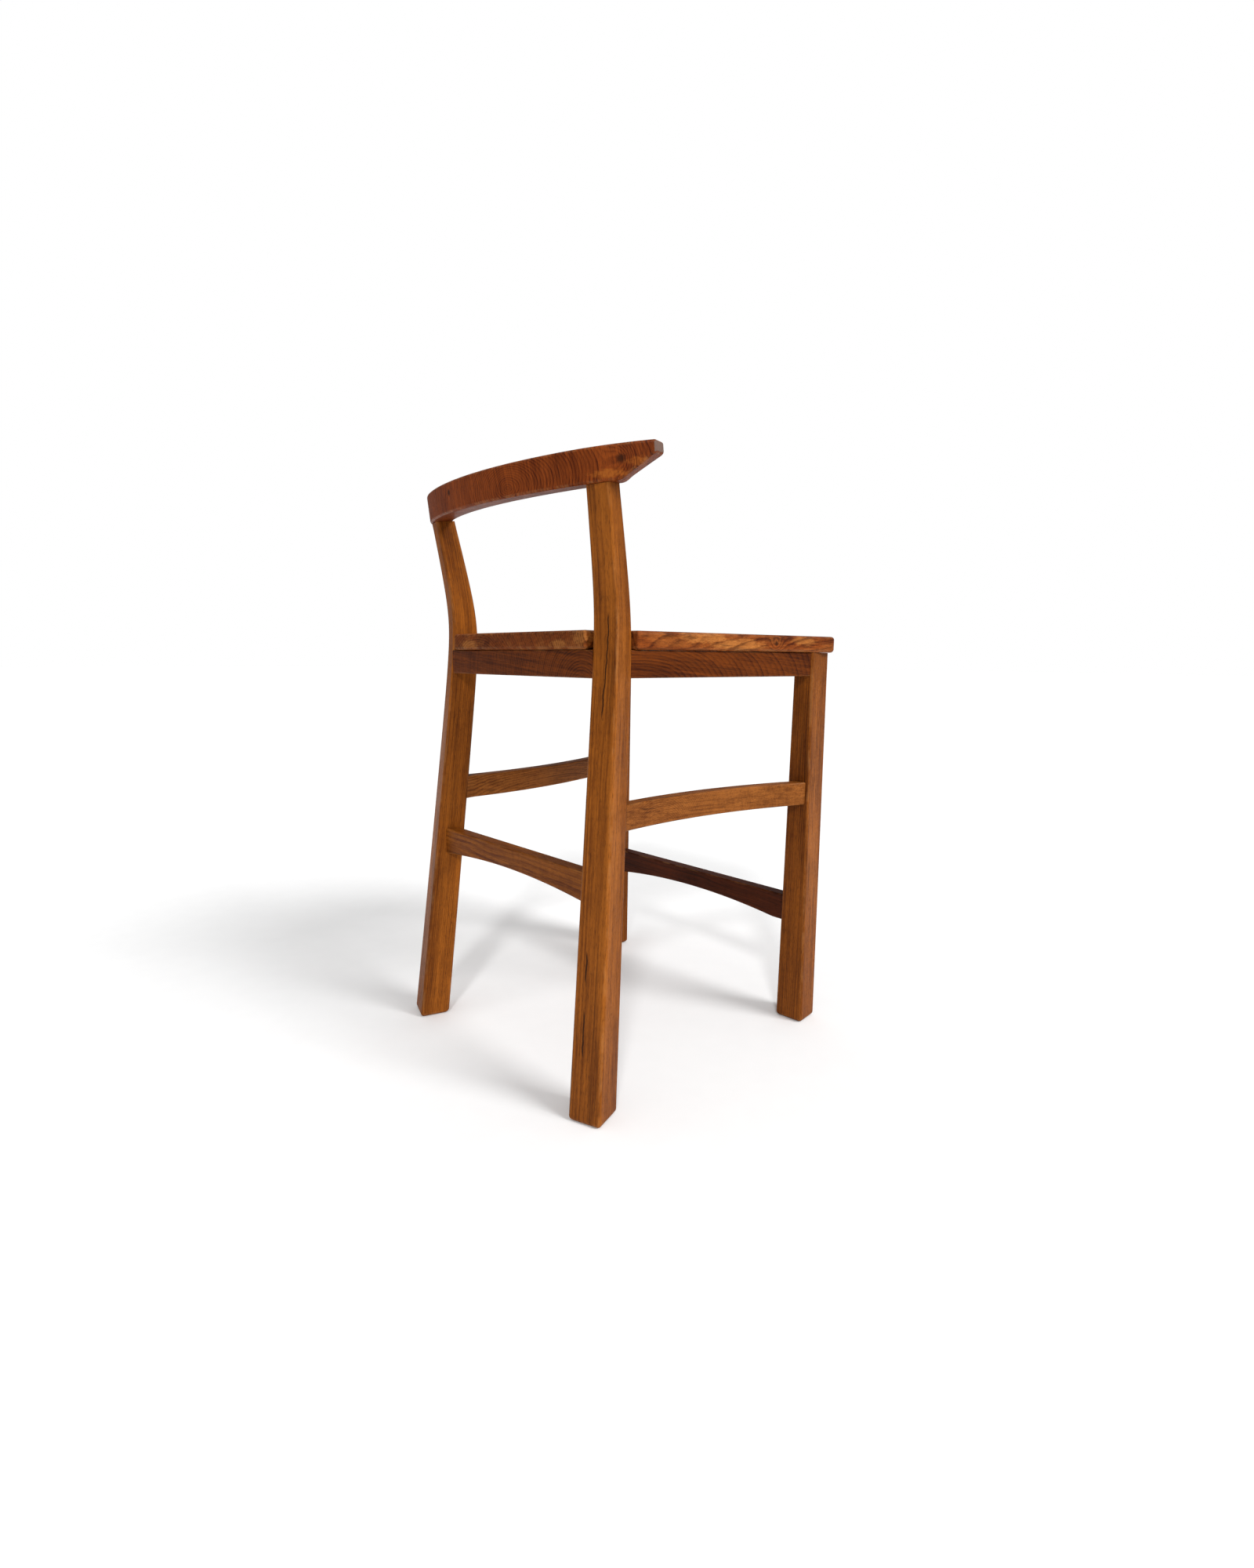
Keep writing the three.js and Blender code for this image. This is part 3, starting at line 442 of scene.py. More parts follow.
def rail_stations():
    """Turning angles and insets from one tip of the rail to the other, with eased tips."""
    last = RAIL_END_ANGLE * RAIL_TIP_START
    half = [(last * step / RAIL_STEPS, 0) for step in range(RAIL_STEPS + 1)]
    for step in range(1, RAIL_TIP_STEPS + 1):
        angle = step / RAIL_TIP_STEPS * math.pi / 2
        half.append((lerp(last, RAIL_END_ANGLE, math.sin(angle)), RAIL_TIP_EASE * (1 - math.cos(angle))))
    return [(-angle, inset) for angle, inset in reversed(half[1:])] + half


def crest_rail(material):
    rings = []
    edge_wear_and_highlight = []
    for angle, inset in rail_stations():
        ring, edge_share = rail_ring(angle, inset)
        rings.append(ring)
        edge_wear_and_highlight += edge_share
    add_piece("crest_rail", rings, edge_wear_and_highlight, material)


# ---------- seat ----------
def seat_side_x(y):
    """X of the seat's left side edge."""
    return SEAT_SIDE[0] + (SEAT_SIDE[1] - y) * SIDE_SLOPE


def seat_corners():
    """Corners of the left half of the outline, each with its plan radius."""
    corner, turn, width, depth = rear_section((SEAT_TOP + SEAT_BOTTOM) / 2)
    across, forward = section_axes(turn)
    inner_front = [corner[i] + forward[i] * depth for i in (0, 1)]
    notch = [inner_front[i] + (forward[i] - across[i]) * NOTCH_GAP for i in (0, 1)]
    outer_x = seat_side_x(notch[1] - (width + NOTCH_GAP) * math.sin(turn))
    outer_y = notch[1] + (outer_x - notch[0]) * across[1] / across[0]
    return [
        ((NOTCH_MOUTH_X, SEAT_REAR), SEAT_CORNER),
        (tuple(notch), NOTCH_CORNER),
        ((outer_x, outer_y), SEAT_CORNER),
        ((seat_side_x(SEAT_FRONT), SEAT_FRONT), SEAT_FRONT_CORNER),
    ]


def rounded_outline(corners, arc_steps=8, straight=0.012):
    """A closed outline with each corner turned into an arc, and its straight runs divided."""
    count = len(corners)
    arcs = []
    for index, (point, radius) in enumerate(corners):
        here = Vector(point)
        before = (Vector(corners[index - 1][0]) - here).normalized()
        after = (Vector(corners[(index + 1) % count][0]) - here).normalized()
        half = before.angle(after) / 2
        centre = here + (before + after).normalized() * radius / math.sin(half)
        start = here + before * radius / math.tan(half)
        end = here + after * radius / math.tan(half)
        a0 = math.atan2(*(start - centre).yx)
        swing = math.atan2(*(end - centre).yx) - a0
        swing = (swing + math.pi) % (2 * math.pi) - math.pi
        angles = [a0 + swing * k / arc_steps for k in range(arc_steps + 1)]
        arcs.append([centre + Vector((math.cos(a), math.sin(a))) * radius for a in angles])
    outline = []
    for index, arc in enumerate(arcs):
        outline += arc
        following = arcs[(index + 1) % count][0]
        steps = max(int((following - arc[-1]).length / straight), 1)
        outline += [arc[-1].lerp(following, k / steps) for k in range(1, steps)]
    return outline


def inset_outline(outline, inset):
    """The outline moved inwards along its mitres."""
    count = len(outline)
    moved = []
    for index, point in enumerate(outline):
        before = (point - outline[index - 1]).normalized()
        after = (outline[(index + 1) % count] - point).normalized()
        first = Vector((before.y, -before.x))
        second = Vector((after.y, -after.x))
        mitre = (first + second) / (1 + first.dot(second))
        moved.append(point + mitre * inset)
    return moved


def dish_depth(x, y):
    """How far the seat's top is hollowed at a place."""
    reach = (x / DISH["x"]) ** 2 + ((y - DISH["centre"]) / DISH["y"]) ** 2
    return DISH["depth"] * max(1 - reach, 0) ** DISH["fall"]


def seat_panel(material):
    """The notched seat: an eased edge all round, then rings that shrink over the dished top."""
    left = seat_corners()
    right = [((-x, y), radius) for (x, y), radius in reversed(left)]
    outline = rounded_outline(left + right)
    rings = []
    edge_wear_and_highlight = []
    for low in (True, False):
        for step in range(SEAT_EDGE_STEPS + 1):
            angle = step / SEAT_EDGE_STEPS * math.pi / 2
            if not low:
                angle = math.pi / 2 - angle
            inset = SEAT_EDGE * (1 - math.sin(angle))
            rise = SEAT_EDGE * (1 - math.cos(angle))
            z = SEAT_BOTTOM + rise if low else SEAT_TOP - rise
            rings.append([(p.x, p.y, z) for p in inset_outline(outline, inset)])
            edge_wear_and_highlight += [math.sin(2 * angle)] * len(outline)
    top = inset_outline(outline, SEAT_EDGE)
    middle = Vector((0, DISH["centre"]))
    for step in range(1, SEAT_TOP_STEPS):
        shrunk = [middle + (point - middle) * (1 - step / SEAT_TOP_STEPS) for point in top]
        rings.append([(p.x, p.y, SEAT_TOP - dish_depth(p.x, p.y)) for p in shrunk])
        edge_wear_and_highlight += [0.0] * len(top)
    add_piece("seat_panel", rings, edge_wear_and_highlight, material)


# ---------- shader helpers ----------
class Graph:
    """Adds nodes to a tree. A value is a number, a tuple or another node's socket."""

    def __init__(self, tree):
        self.tree = tree

    def node(self, kind, **settings):
        made = self.tree.nodes.new(kind)
        for key, value in settings.items():
            setattr(made, key, value)
        return made

    def put(self, value, socket):
        if isinstance(value, bpy.types.NodeSocket):
            self.tree.links.new(value, socket)
        else:
            socket.default_value = value

    def math(self, operation, *values, limited=False):
        made = self.node("ShaderNodeMath", operation=operation, use_clamp=limited)
        for value, socket in zip(values, made.inputs):
            self.put(value, socket)
        return made.outputs[0]

    def vector(self, operation, *values):
        made = self.node("ShaderNodeVectorMath", operation=operation)
        for value, socket in zip(values, made.inputs):
            self.put(value, socket)
        return made.outputs["Value" if operation in ("LENGTH", "DOT_PRODUCT") else "Vector"]

    def inverse(self, value):
        return self.math("SUBTRACT", 1.0, value)

    def centred(self, value):
        """A noise's value moved from 0..1 to about zero."""
        return self.math("SUBTRACT", value, 0.5)

    def split(self, value):
        """The X, Y and Z of a vector."""
        made = self.node("ShaderNodeSeparateXYZ")
        self.put(value, made.inputs[0])
        return made.outputs

    def blend(self, share, first, second):
        made = self.node("ShaderNodeMix", data_type="RGBA")
        self.put(share, made.inputs[0])
        self.put(first, made.inputs[6])
        self.put(second, made.inputs[7])
        return made.outputs[2]

    def noise(self, place, size, detail=2.0, rough=0.5, colour=False):
        """Noise whose features measure size = (across, across, along)."""
        scale = tuple(1 / length for length in size)
        made = self.node("ShaderNodeTexNoise")
        self.put(self.vector("MULTIPLY", place, scale), made.inputs["Vector"])
        made.inputs["Scale"].default_value = 1.0
        made.inputs["Detail"].default_value = detail
        made.inputs["Roughness"].default_value = rough
        return made.outputs["Color" if colour else 0]

    def step(self, value, low, high):
        """0 below low, 1 above high, and smooth between them."""
        made = self.node("ShaderNodeMapRange", interpolation_type="SMOOTHSTEP")
        self.put(value, made.inputs["Value"])
        made.inputs["From Min"].default_value = low
        made.inputs["From Max"].default_value = high
        return made.outputs["Result"]

    def ramp(self, value, stops):
        made = self.node("ShaderNodeValToRGB")
        elements = made.color_ramp.elements
        while len(elements) < len(stops):
            elements.new(0.5)
        for element, (position, level) in zip(elements, stops):
            element.position = position
            element.color = (level, level, level, 1)
        self.put(value, made.inputs["Fac"])
        return made.outputs["Color"]


def new_material(name):
    """An empty node material, and the graph that fills it."""
    material = bpy.data.materials.new(name)
    material.use_nodes = True
    material.node_tree.nodes.clear()
    return material, Graph(material.node_tree)


def show(g, shader):
    """Joins a shader to its material's surface."""
    output = g.node("ShaderNodeOutputMaterial")
    g.put(shader.outputs[0], output.inputs["Surface"])


# ---------- the wood ----------
# What the wood shows: its size in millimetres (across, across, along the grain), noise detail, roughness.
FEATURES = {
    "slow bend": ((60, 60, 170), 1.5, 0.5),
    "quick bend": ((12, 12, 40), 2.0, 0.5),
    "fibre": ((0.8, 0.8, 34), 3.0, 0.6),
    "streak": ((3.6, 3.6, 170), 2.5, 0.6),
    "drift": ((38, 38, 230), 2.0, 0.5),
    "shimmer": ((15, 15, 34), 2.0, 0.5),
    "curl": ((26, 26, 7.5), 2.5, 0.55),
    "pores": ((0.50, 0.50, 8.0), 1.0, 0.5),
    "mineral": ((5.0, 5.0, 240), 1.5, 0.5),
    "gold": ((24, 24, 95), 2.0, 0.5),
    "rubbed_and_highlighted": ((9, 9, 30), 3.0, 0.6),
    "polish": ((16, 16, 50), 3.0, 0.5),
    "waves": ((22, 22, 60), 1.0, 0.5),
}
BEND_SHARES = {"slow bend": 1.0, "quick bend": 0.14}
TONE_SHARES = {"streak": 1.45, "drift": 1.15, "shimmer": 0.50}
FIBRE_SHARE = 1.05
THIN_RING_SHARE = 0.16
MEAN_TONE = 0.40
# Darkness across one growth ring, from its pale early wood to its dark late wood.
RING_PROFILE = ((0.0, 0.60), (0.14, 0.08), (0.45, 0.15), (0.78, 0.62), (0.92, 1.0), (1.0, 0.60))
THIN_PROFILE = ((0.0, 0.2), (0.6, 0.2), (0.85, 1.0), (1.0, 0.2))
THIN_RINGS = 2.7  # thin rings in each growth ring
SEED_STEP = {"X": 37.1, "Y": 11.7, "Z": 153.3}  # each seed moves the noises this far
# Where each mask starts to show, and where it is full.
BANDS = {
    "pores": (0.57, 0.69),
    "mineral": (0.64, 0.72),
    "gold": (0.50, 0.62),
    "rubbed_and_highlighted": (0.42, 0.66),
    "end grain": (0.55, 0.95),
    "sawn ends": (0.82, 0.90),
    "glow's rim": (0.45, 1.15),
    "knot's rim": (0.3, 1.1),
    "scuff's rim": (0.5, 1.0),
    "rear face": (0.6, 0.8),
}
DEEP_SHARES = {"pores": 0.68, "mineral": 0.55, "end grain": 0.42}  # how much each darkens the wood
DEEP_BROWN = (0.012, 0.004, 0.002, 1)
# pale tan for the rounded edges: partly wear, partly a painted highlight
PALE_WEAR_AND_HIGHLIGHT_TAN = (0.55, 0.27, 0.10, 1)
# Two inputs carry painted light: the golden patches, which also paint the light on the legs' outer faces, and
# the rounded edges, made pale partly as wear and partly as a painted highlight.
WOOD_INPUTS = {
    "Vector": ("Place", "Rings"),
    "Float": ("Push", "Seed", "Ring width", "Warp", "Gold share", "Gold patch and painted light", "Figure", "Ring contrast",
              "End grain", "Edge wear and highlight"),
    "Color": ("Early", "Late", "Gold"),
}
WOOD_OUTPUTS = {"Color": ("Color",), "Float": ("Roughness", "Height")}


def feature(g, where, name, colour=False):
    size, detail, rough = FEATURES[name]
    return g.noise(where, size, detail, rough, colour)


def growth_rings(g, given, where):
    """Darkness of the growth rings, and of the thin rings inside them, from the distance to the pith."""
    place = given["Rings"]
    for name, share in BEND_SHARES.items():
        bend = g.vector("SUBTRACT", feature(g, where, name, colour=True), (0.5, 0.5, 0.5))
        scaled = g.node("ShaderNodeVectorMath", operation="SCALE")
        g.put(bend, scaled.inputs[0])
        g.put(g.math("MULTIPLY", given["Warp"], share), scaled.inputs["Scale"])
        place = g.vector("ADD", place, scaled.outputs[0])
    radius = g.vector("LENGTH", g.vector("MULTIPLY", place, (1, 1, 0)))
    turns = g.math("DIVIDE", g.math("ADD", radius, given["Push"]), given["Ring width"])
    own_tone = g.node("ShaderNodeTexWhiteNoise", noise_dimensions="1D")
    g.put(g.math("ADD", g.math("FLOOR", turns), given["Seed"]), own_tone.inputs["W"])
    strength = g.math("MULTIPLY_ADD", own_tone.outputs["Value"], 0.65, 0.35)
    late = g.math("MULTIPLY", g.ramp(g.math("FRACT", turns), RING_PROFILE), strength)
    thin = g.ramp(g.math("FRACT", g.math("MULTIPLY", turns, THIN_RINGS)), THIN_PROFILE)
    return late, thin


def wood_tone(g, given, where, late, thin, fibre):
    """0 where the wood is palest and 1 where it is darkest."""
    contrast = given["Ring contrast"]
    tone = g.math("MULTIPLY", g.math("SUBTRACT", late, 0.25), contrast)
    tone = g.math("MULTIPLY_ADD", g.math("MULTIPLY", thin, contrast), THIN_RING_SHARE, tone)
    parts = [(fibre, FIBRE_SHARE)]
    parts += [(feature(g, where, name), share) for name, share in TONE_SHARES.items()]
    parts.append((feature(g, where, "curl"), given["Figure"]))
    for part, share in parts:
        tone = g.math("MULTIPLY_ADD", g.centred(part), share, tone)
    return g.math("ADD", tone, MEAN_TONE, limited=True)


def wood_colour(g, given, where, tone, pores, rubbed_and_highlighted):
    """Early to late wood, then golden patches, dark pores, mineral streaks, end grain and pale edges. The
    golden patches are figure in the wood and, on the legs' outer faces, painted light; the pale edges are
    partly wear and partly a painted highlight.
    """
    colour = g.blend(tone, given["Early"], given["Late"])
    gold = g.math("MULTIPLY", g.step(feature(g, where, "gold"), *BANDS["gold"]), given["Gold share"])
    # golden figure, plus the painted light on the legs' outer faces, which comes in here
    gold = g.math("MAXIMUM", gold, given["Gold patch and painted light"])
    gold = g.math("MULTIPLY", gold, g.inverse(g.math("MULTIPLY", tone, 0.75)))
    colour = g.blend(gold, colour, given["Gold"])
    masks = {"pores": pores, "end grain": given["End grain"],
             "mineral": g.step(feature(g, where, "mineral"), *BANDS["mineral"])}
    deep = g.blend(0.75, colour, DEEP_BROWN)
    for name, share in DEEP_SHARES.items():
        colour = g.blend(g.math("MULTIPLY", masks[name], share), colour, deep)
    # pale rounded edges: partly wear, partly a painted highlight along them
    pale = g.blend(0.35, colour, PALE_WEAR_AND_HIGHLIGHT_TAN)
    return g.blend(g.math("MULTIPLY", rubbed_and_highlighted, 0.5), colour, pale)


def wood_roughness(g, given, where, pores, rubbed_and_highlighted):
    """Uneven polish, duller in pores and end grain, and smoother where rubbed."""
    polish = g.centred(feature(g, where, "polish"))
    roughness = g.math("MULTIPLY_ADD", polish, 0.22, 0.42)
    roughness = g.math("MULTIPLY_ADD", pores, 0.22, roughness)
    roughness = g.math("MULTIPLY_ADD", given["End grain"], 0.16, roughness)
    return g.math("MULTIPLY_ADD", rubbed_and_highlighted, -0.08, roughness, limited=True)


def wood_height(g, where, pores, fibre, late):
    """Sunk pores, fine fibres, raised late wood and slow waves left by hand planing."""
    height = g.math("MULTIPLY_ADD", pores, -0.75, g.math("MULTIPLY", fibre, 0.35))
    height = g.math("MULTIPLY_ADD", late, 0.18, height)
    return g.math("MULTIPLY_ADD", feature(g, where, "waves"), 1.3, height)


def hardwood_group():
    """Teak-like wood. Place is in millimetres with Z along the grain, and Rings the same about the pith."""
    tree = bpy.data.node_groups.new("hardwood", "ShaderNodeTree")
    for direction, sockets in (("INPUT", WOOD_INPUTS), ("OUTPUT", WOOD_OUTPUTS)):
        for kind, names in sockets.items():
            for name in names:
                tree.interface.new_socket(name=name, in_out=direction, socket_type="NodeSocket" + kind)
    g = Graph(tree)
    given = g.node("NodeGroupInput").outputs
    shift = g.node("ShaderNodeCombineXYZ")
    for axis, factor in SEED_STEP.items():
        g.put(g.math("MULTIPLY", given["Seed"], factor), shift.inputs[axis])
    where = g.vector("ADD", given["Place"], shift.outputs[0])
    late, thin = growth_rings(g, given, where)
    fibre = feature(g, where, "fibre")
    pores = g.step(feature(g, where, "pores"), *BANDS["pores"])
    patches = g.step(feature(g, where, "rubbed_and_highlighted"), *BANDS["rubbed_and_highlighted"])
    rubbed_and_highlighted = g.math("MULTIPLY", given["Edge wear and highlight"], patches)
    tone = wood_tone(g, given, where, late, thin, fibre)
    result = g.node("NodeGroupOutput").inputs
    g.put(wood_colour(g, given, where, tone, pores, rubbed_and_highlighted), result["Color"])
    g.put(wood_roughness(g, given, where, pores, rubbed_and_highlighted), result["Roughness"])
    g.put(wood_height(g, where, pores, fibre, late), result["Height"])
    return tree


HARDWOOD = hardwood_group()


def facing(direction):
    """The turn that takes Z to a direction."""
    return Vector(direction).normalized().to_track_quat("Z", "Y").to_euler()


def board(grain, pith, heart=None, stretch=(1, 1), ends=None):
    """How a piece was cut: its grain, a point of the pith, and the pith's own run if it crosses the grain.

    stretch widens the rings across and up and down, for a slanting cut. ends is where its sawn ends face.
    """
    return {"grain": Vector(grain).normalized(), "pith": pith, "heart": heart or grain, "stretch": stretch,
            "ends": Vector(ends or grain).normalized()}


def millimetres(g, place, origin, turn, stretch=(1, 1)):
    """A place in a turned frame of its own, in millimetres."""
    mapping = g.node("ShaderNodeMapping", vector_type="TEXTURE")
    g.put(place, mapping.inputs["Vector"])
    mapping.inputs["Location"].default_value = (origin[0], origin[1] + SHIFT_Y, origin[2])
    mapping.inputs["Rotation"].default_value = turn
    mapping.inputs["Scale"].default_value = (0.001 * stretch[0], 0.001 * stretch[1], 0.001)
    return mapping.outputs[0]


def spot(g, place, middle, size, ragged=0.0):
    """Distance from a spot's middle, 1 at its rim. size is the spot's reach along X, Y and Z."""
    shifted = g.vector("SUBTRACT", place, (middle[0], middle[1] + SHIFT_Y, middle[2]))
    away = g.vector("LENGTH", g.vector("MULTIPLY", shifted, tuple(1 / reach for reach in size)))
    if not ragged:
        return away
    torn = g.noise(place, (0.007, 0.012, 0.004), 3.0, 0.6)
    return g.math("MULTIPLY_ADD", g.centred(torn), ragged, away)


def leg_path(g, place, side):
    """The place with the rear leg's bend taken out, so that the grain runs along the leg."""
    rise = g.math("SUBTRACT", g.split(place)["Z"], KNEE["z"])
    reach = g.math("SQRT", g.math("MULTIPLY_ADD", rise, rise, KNEE["softness"] ** 2))
    bend = g.math("SUBTRACT", reach, KNEE["softness"])
    moved = g.node("ShaderNodeCombineXYZ")
    for axis, (below, above), sign in (("X", OUTWARD_SLOPE, side), ("Y", BACKWARD_SLOPE, 1)):
        straight = g.math("MULTIPLY", rise, sign * (below + above) / 2)
        g.put(g.math("MULTIPLY_ADD", bend, sign * (above - below) / 2, straight), moved.inputs[axis])
    return g.vector("SUBTRACT", place, moved.outputs[0])


KNOT_HEART = 0.42  # share of a knot's reach that is dark
KNOT_BROWN = (0.022, 0.006, 0.002)
SCUFF_GREY = (0.50, 0.40, 0.33)
CRACK_BLACK = (0.008, 0.003, 0.002)
CRACK_DEPTH = -2.5
CRACK_WANDER = 0.004
CRACK_FADE = 0.012


def knot_push(g, place, knots):
    """How far knots push the growth rings aside, in millimetres."""
    push = 0.0
    for middle, reach, depth in knots:
        away = spot(g, place, middle, (reach,) * 3)
        swell = g.math("EXPONENT", g.math("MULTIPLY", g.math("MULTIPLY", away, away), -1.0))
        push = g.math("MULTIPLY_ADD", swell, depth, push)
    return push


def gold_patch_and_painted_light_mask(g, place, gold_patches_and_painted_light):
    """1 inside the golden patches: figure in the wood, and on the legs' outer faces painted light."""
    glow = 0.0
    for middle, size, ragged in gold_patches_and_painted_light:
        inside = g.inverse(g.step(spot(g, place, middle, size, ragged), *BANDS["glow's rim"]))
        glow = g.math("MAXIMUM", glow, inside)
    return glow


def stain(g, colour, mask, share, tint):
    """Tints a colour where a mask is 1."""
    return g.blend(g.math("MULTIPLY", mask, share), colour, (*tint, 1))


def marks(g, coordinates, endness, colour, height, knots, scuffs, sawn_ends, cracks):
    """Adds a board's knot hearts, scuffs, sawn ends and cracks to its colour and height."""
    place = coordinates["Object"]
    for middle, reach, _ in knots:
        away = spot(g, place, middle, (reach * KNOT_HEART,) * 3, 0.7)
        dark = g.inverse(g.step(away, *BANDS["knot's rim"]))
        colour = stain(g, colour, dark, 0.85, KNOT_BROWN)
    for middle, size in scuffs:
        pale = g.inverse(g.step(spot(g, place, middle, size, 1.0), *BANDS["scuff's rim"]))
        colour = stain(g, colour, pale, 0.75, SCUFF_GREY)
    if sawn_ends:
        colour = stain(g, colour, g.step(endness, *BANDS["sawn ends"]), 0.75, sawn_ends)
    for crack in cracks:
        mask = crack_mask(g, coordinates, crack)
        colour = stain(g, colour, mask, 0.9, CRACK_BLACK)
        height = g.math("MULTIPLY_ADD", mask, CRACK_DEPTH, height)
    return colour, height


def wood(name, cut, seed, ring_width, warp, early, late, gold=(0.46, 0.165, 0.036), gold_share=0.0,
         figure=0.3, ring_contrast=0.6, cracks=(), knots=(), gold_patches_and_painted_light=(), scuffs=(), bent_side=0,
         sawn_ends=None):
    """One board's material: how it was cut, its rings and colours, and its own marks."""
    material, g = new_material(name)
    coordinates = g.node("ShaderNodeTexCoord").outputs
    place = coordinates["Object"]
    grown = leg_path(g, place, bent_side) if bent_side else place
    endness = g.math("ABSOLUTE", g.vector("DOT_PRODUCT", coordinates["Normal"], tuple(cut["ends"])))
    values = {
        "Place": millimetres(g, grown, cut["pith"], facing(cut["grain"])),
        "Rings": millimetres(g, grown, cut["pith"], facing(cut["heart"]), cut["stretch"]),
        "Push": knot_push(g, place, knots),
        "Seed": float(seed),
        "Ring width": ring_width,
        "Warp": warp,
        "Early": (*early, 1),
        "Late": (*late, 1),
        "Gold": (*gold, 1),
        "Gold share": gold_share,
        # golden figure, and painted light on the legs' outer faces
        "Gold patch and painted light": gold_patch_and_painted_light_mask(g, grown, gold_patches_and_painted_light),
        "Figure": figure,
        "Ring contrast": ring_contrast,
        "End grain": g.step(endness, *BANDS["end grain"]),
        # rounded edges, made pale as wear and as a painted highlight
        "Edge wear and highlight": g.node("ShaderNodeAttribute", attribute_name="edge_wear_and_highlight").outputs["Fac"],
    }
    group = g.node("ShaderNodeGroup", node_tree=HARDWOOD)
    for key, value in values.items():
        g.put(value, group.inputs[key])
    colour, height = marks(g, coordinates, endness, group.outputs["Color"], group.outputs["Height"],
                           knots, scuffs, sawn_ends, cracks)
    bump = g.node("ShaderNodeBump")
    bump.inputs["Strength"].default_value = 0.28
    bump.inputs["Distance"].default_value = 0.0004
    g.put(height, bump.inputs["Height"])
    shader = g.node("ShaderNodeBsdfPrincipled")
    g.put(colour, shader.inputs["Base Color"])
    g.put(group.outputs["Roughness"], shader.inputs["Roughness"])
    g.put(bump.outputs["Normal"], shader.inputs["Normal"])
    shader.inputs["Specular IOR Level"].default_value = 0.06
    shader.inputs["Coat Weight"].default_value = 0.03
    shader.inputs["Coat Roughness"].default_value = 0.30
    show(g, shader)
    return material


def crack_mask(g, coordinates, crack):
    """A hairline in the right rear leg's rear face, between two heights, inset from the inner corner."""
    place = g.split(coordinates["Object"])
    height = place["Z"]
    (low, low_inset), (high, high_inset) = crack["ends"]
    line_x = []
    for z, inset in ((low, low_inset), (high, high_inset)):
        corner, turn, _, _ = rear_section(z)
        across, _ = section_axes(turn)
        line_x.append(-corner[0] - across[0] * inset)
    slope = (line_x[1] - line_x[0]) / (high - low)
    line = g.math("MULTIPLY_ADD", height, slope, line_x[0] - slope * low)
    wander = g.centred(g.noise(coordinates["Object"], (1, 1, 0.018), 4.0))
    line = g.math("MULTIPLY_ADD", wander, CRACK_WANDER, line)
    off = g.math("ABSOLUTE", g.math("SUBTRACT", place["X"], line))
    near = g.inverse(g.step(off, crack["width"] * 0.4, crack["width"]))
    starts = g.step(height, low, low + CRACK_FADE)
    stops = g.inverse(g.step(height, high - CRACK_FADE, high))
    rear_only = g.step(g.split(coordinates["Normal"])["Y"], *BANDS["rear face"])
    mask = g.math("MULTIPLY", near, g.math("MULTIPLY", starts, stops))
    return g.math("MULTIPLY", mask, rear_only)


# Palettes of the woods: pale early wood, dark late wood. The aprons', front legs' and front stretcher's are
# darkened as painted shade.
LEG = {"early": (0.320, 0.094, 0.0100), "late": (0.096, 0.022, 0.0025)}
RED = {"early": (0.240, 0.050, 0.0070), "late": (0.062, 0.009, 0.0015)}
SEAT = {"early": (0.270, 0.062, 0.0090), "late": (0.066, 0.012, 0.0020)}
# painted shade: darker for the shade under the seat's overhang
APRON_PAINTED_SHADE = {"early": (0.155, 0.034, 0.0030), "late": (0.040, 0.007, 0.0008)}
TAN = {"early": (0.330, 0.108, 0.0200), "late": (0.120, 0.032, 0.0050)}
# painted shade: darker for the shade on the front legs' rear faces
FRONT_LEG_PAINTED_SHADE = {"early": (0.250, 0.070, 0.0070), "late": (0.070, 0.015, 0.0018)}
WARM = {"early": (0.270, 0.080, 0.0090), "late": (0.090, 0.020, 0.0028)}
# painted shade: darker for the shade the front stretcher stands in
FRONT_STRETCHER_PAINTED_SHADE = {"early": (0.078, 0.015, 0.0030), "late": (0.024, 0.0045, 0.0010)}
# painted light: the legs' gold shows only on their outer faces, where it paints the light falling on them
LEG_PAINTED_LIGHT_GOLD = (0.470, 0.160, 0.0340)

# The boards' own marks. A crack's ends are (height, inset from the leg's inner corner). A knot is a
# middle, a reach and its push on the rings, a glow a middle, a size and a raggedness, and a scuff a
# middle and a size.
CRACKS = (
    {"ends": ((0.184, 0.0162), (0.234, 0.0154)), "width": 0.0013},
    {"ends": ((0.086, 0.0172), (0.156, 0.0168)), "width": 0.0012},
    {"ends": ((0.530, 0.0183), (0.668, 0.0235)), "width": 0.0011},
)


def leg_board(side, rear, shift):
    """Upright grain, with the pith well outside the leg, off its outer corner."""
    if rear:
        return board((0, 0, 1), (side * (0.250 + shift), 0.255, KNEE["z"]))
    return board((side * 0.008, 0.0, 1), (side * (0.315 + shift), -0.285, 0.3))


RAIL_BOARD = board((0.12, 0.15, 1), (-0.070, 0.25, 0.824), heart=(0.10, 1, -0.16),
                   stretch=(1, 0.62), ends=(1, 0, 0))
SEAT_BOARD = board((0.05, 1, 0.0), (0.03, 0.0, 0.545), heart=(0.30, 1, 0.10))
REAR_APRON_BOARD = board((1, 0, 0.10), (-0.150, 0.19, 0.565), heart=(0.1, 1, 0.05))
SIDE_APRON_BOARD = board((0.15, 1, 0.10), (-0.19, 0.140, 0.572), heart=(1, 0.12, 0.0), stretch=(2.4, 1))
NEAR_STRETCHER_BOARD = board((0.15, 1, 0.02), (-0.21, 0.09, 0.345), heart=(1, -0.1, 0.1))

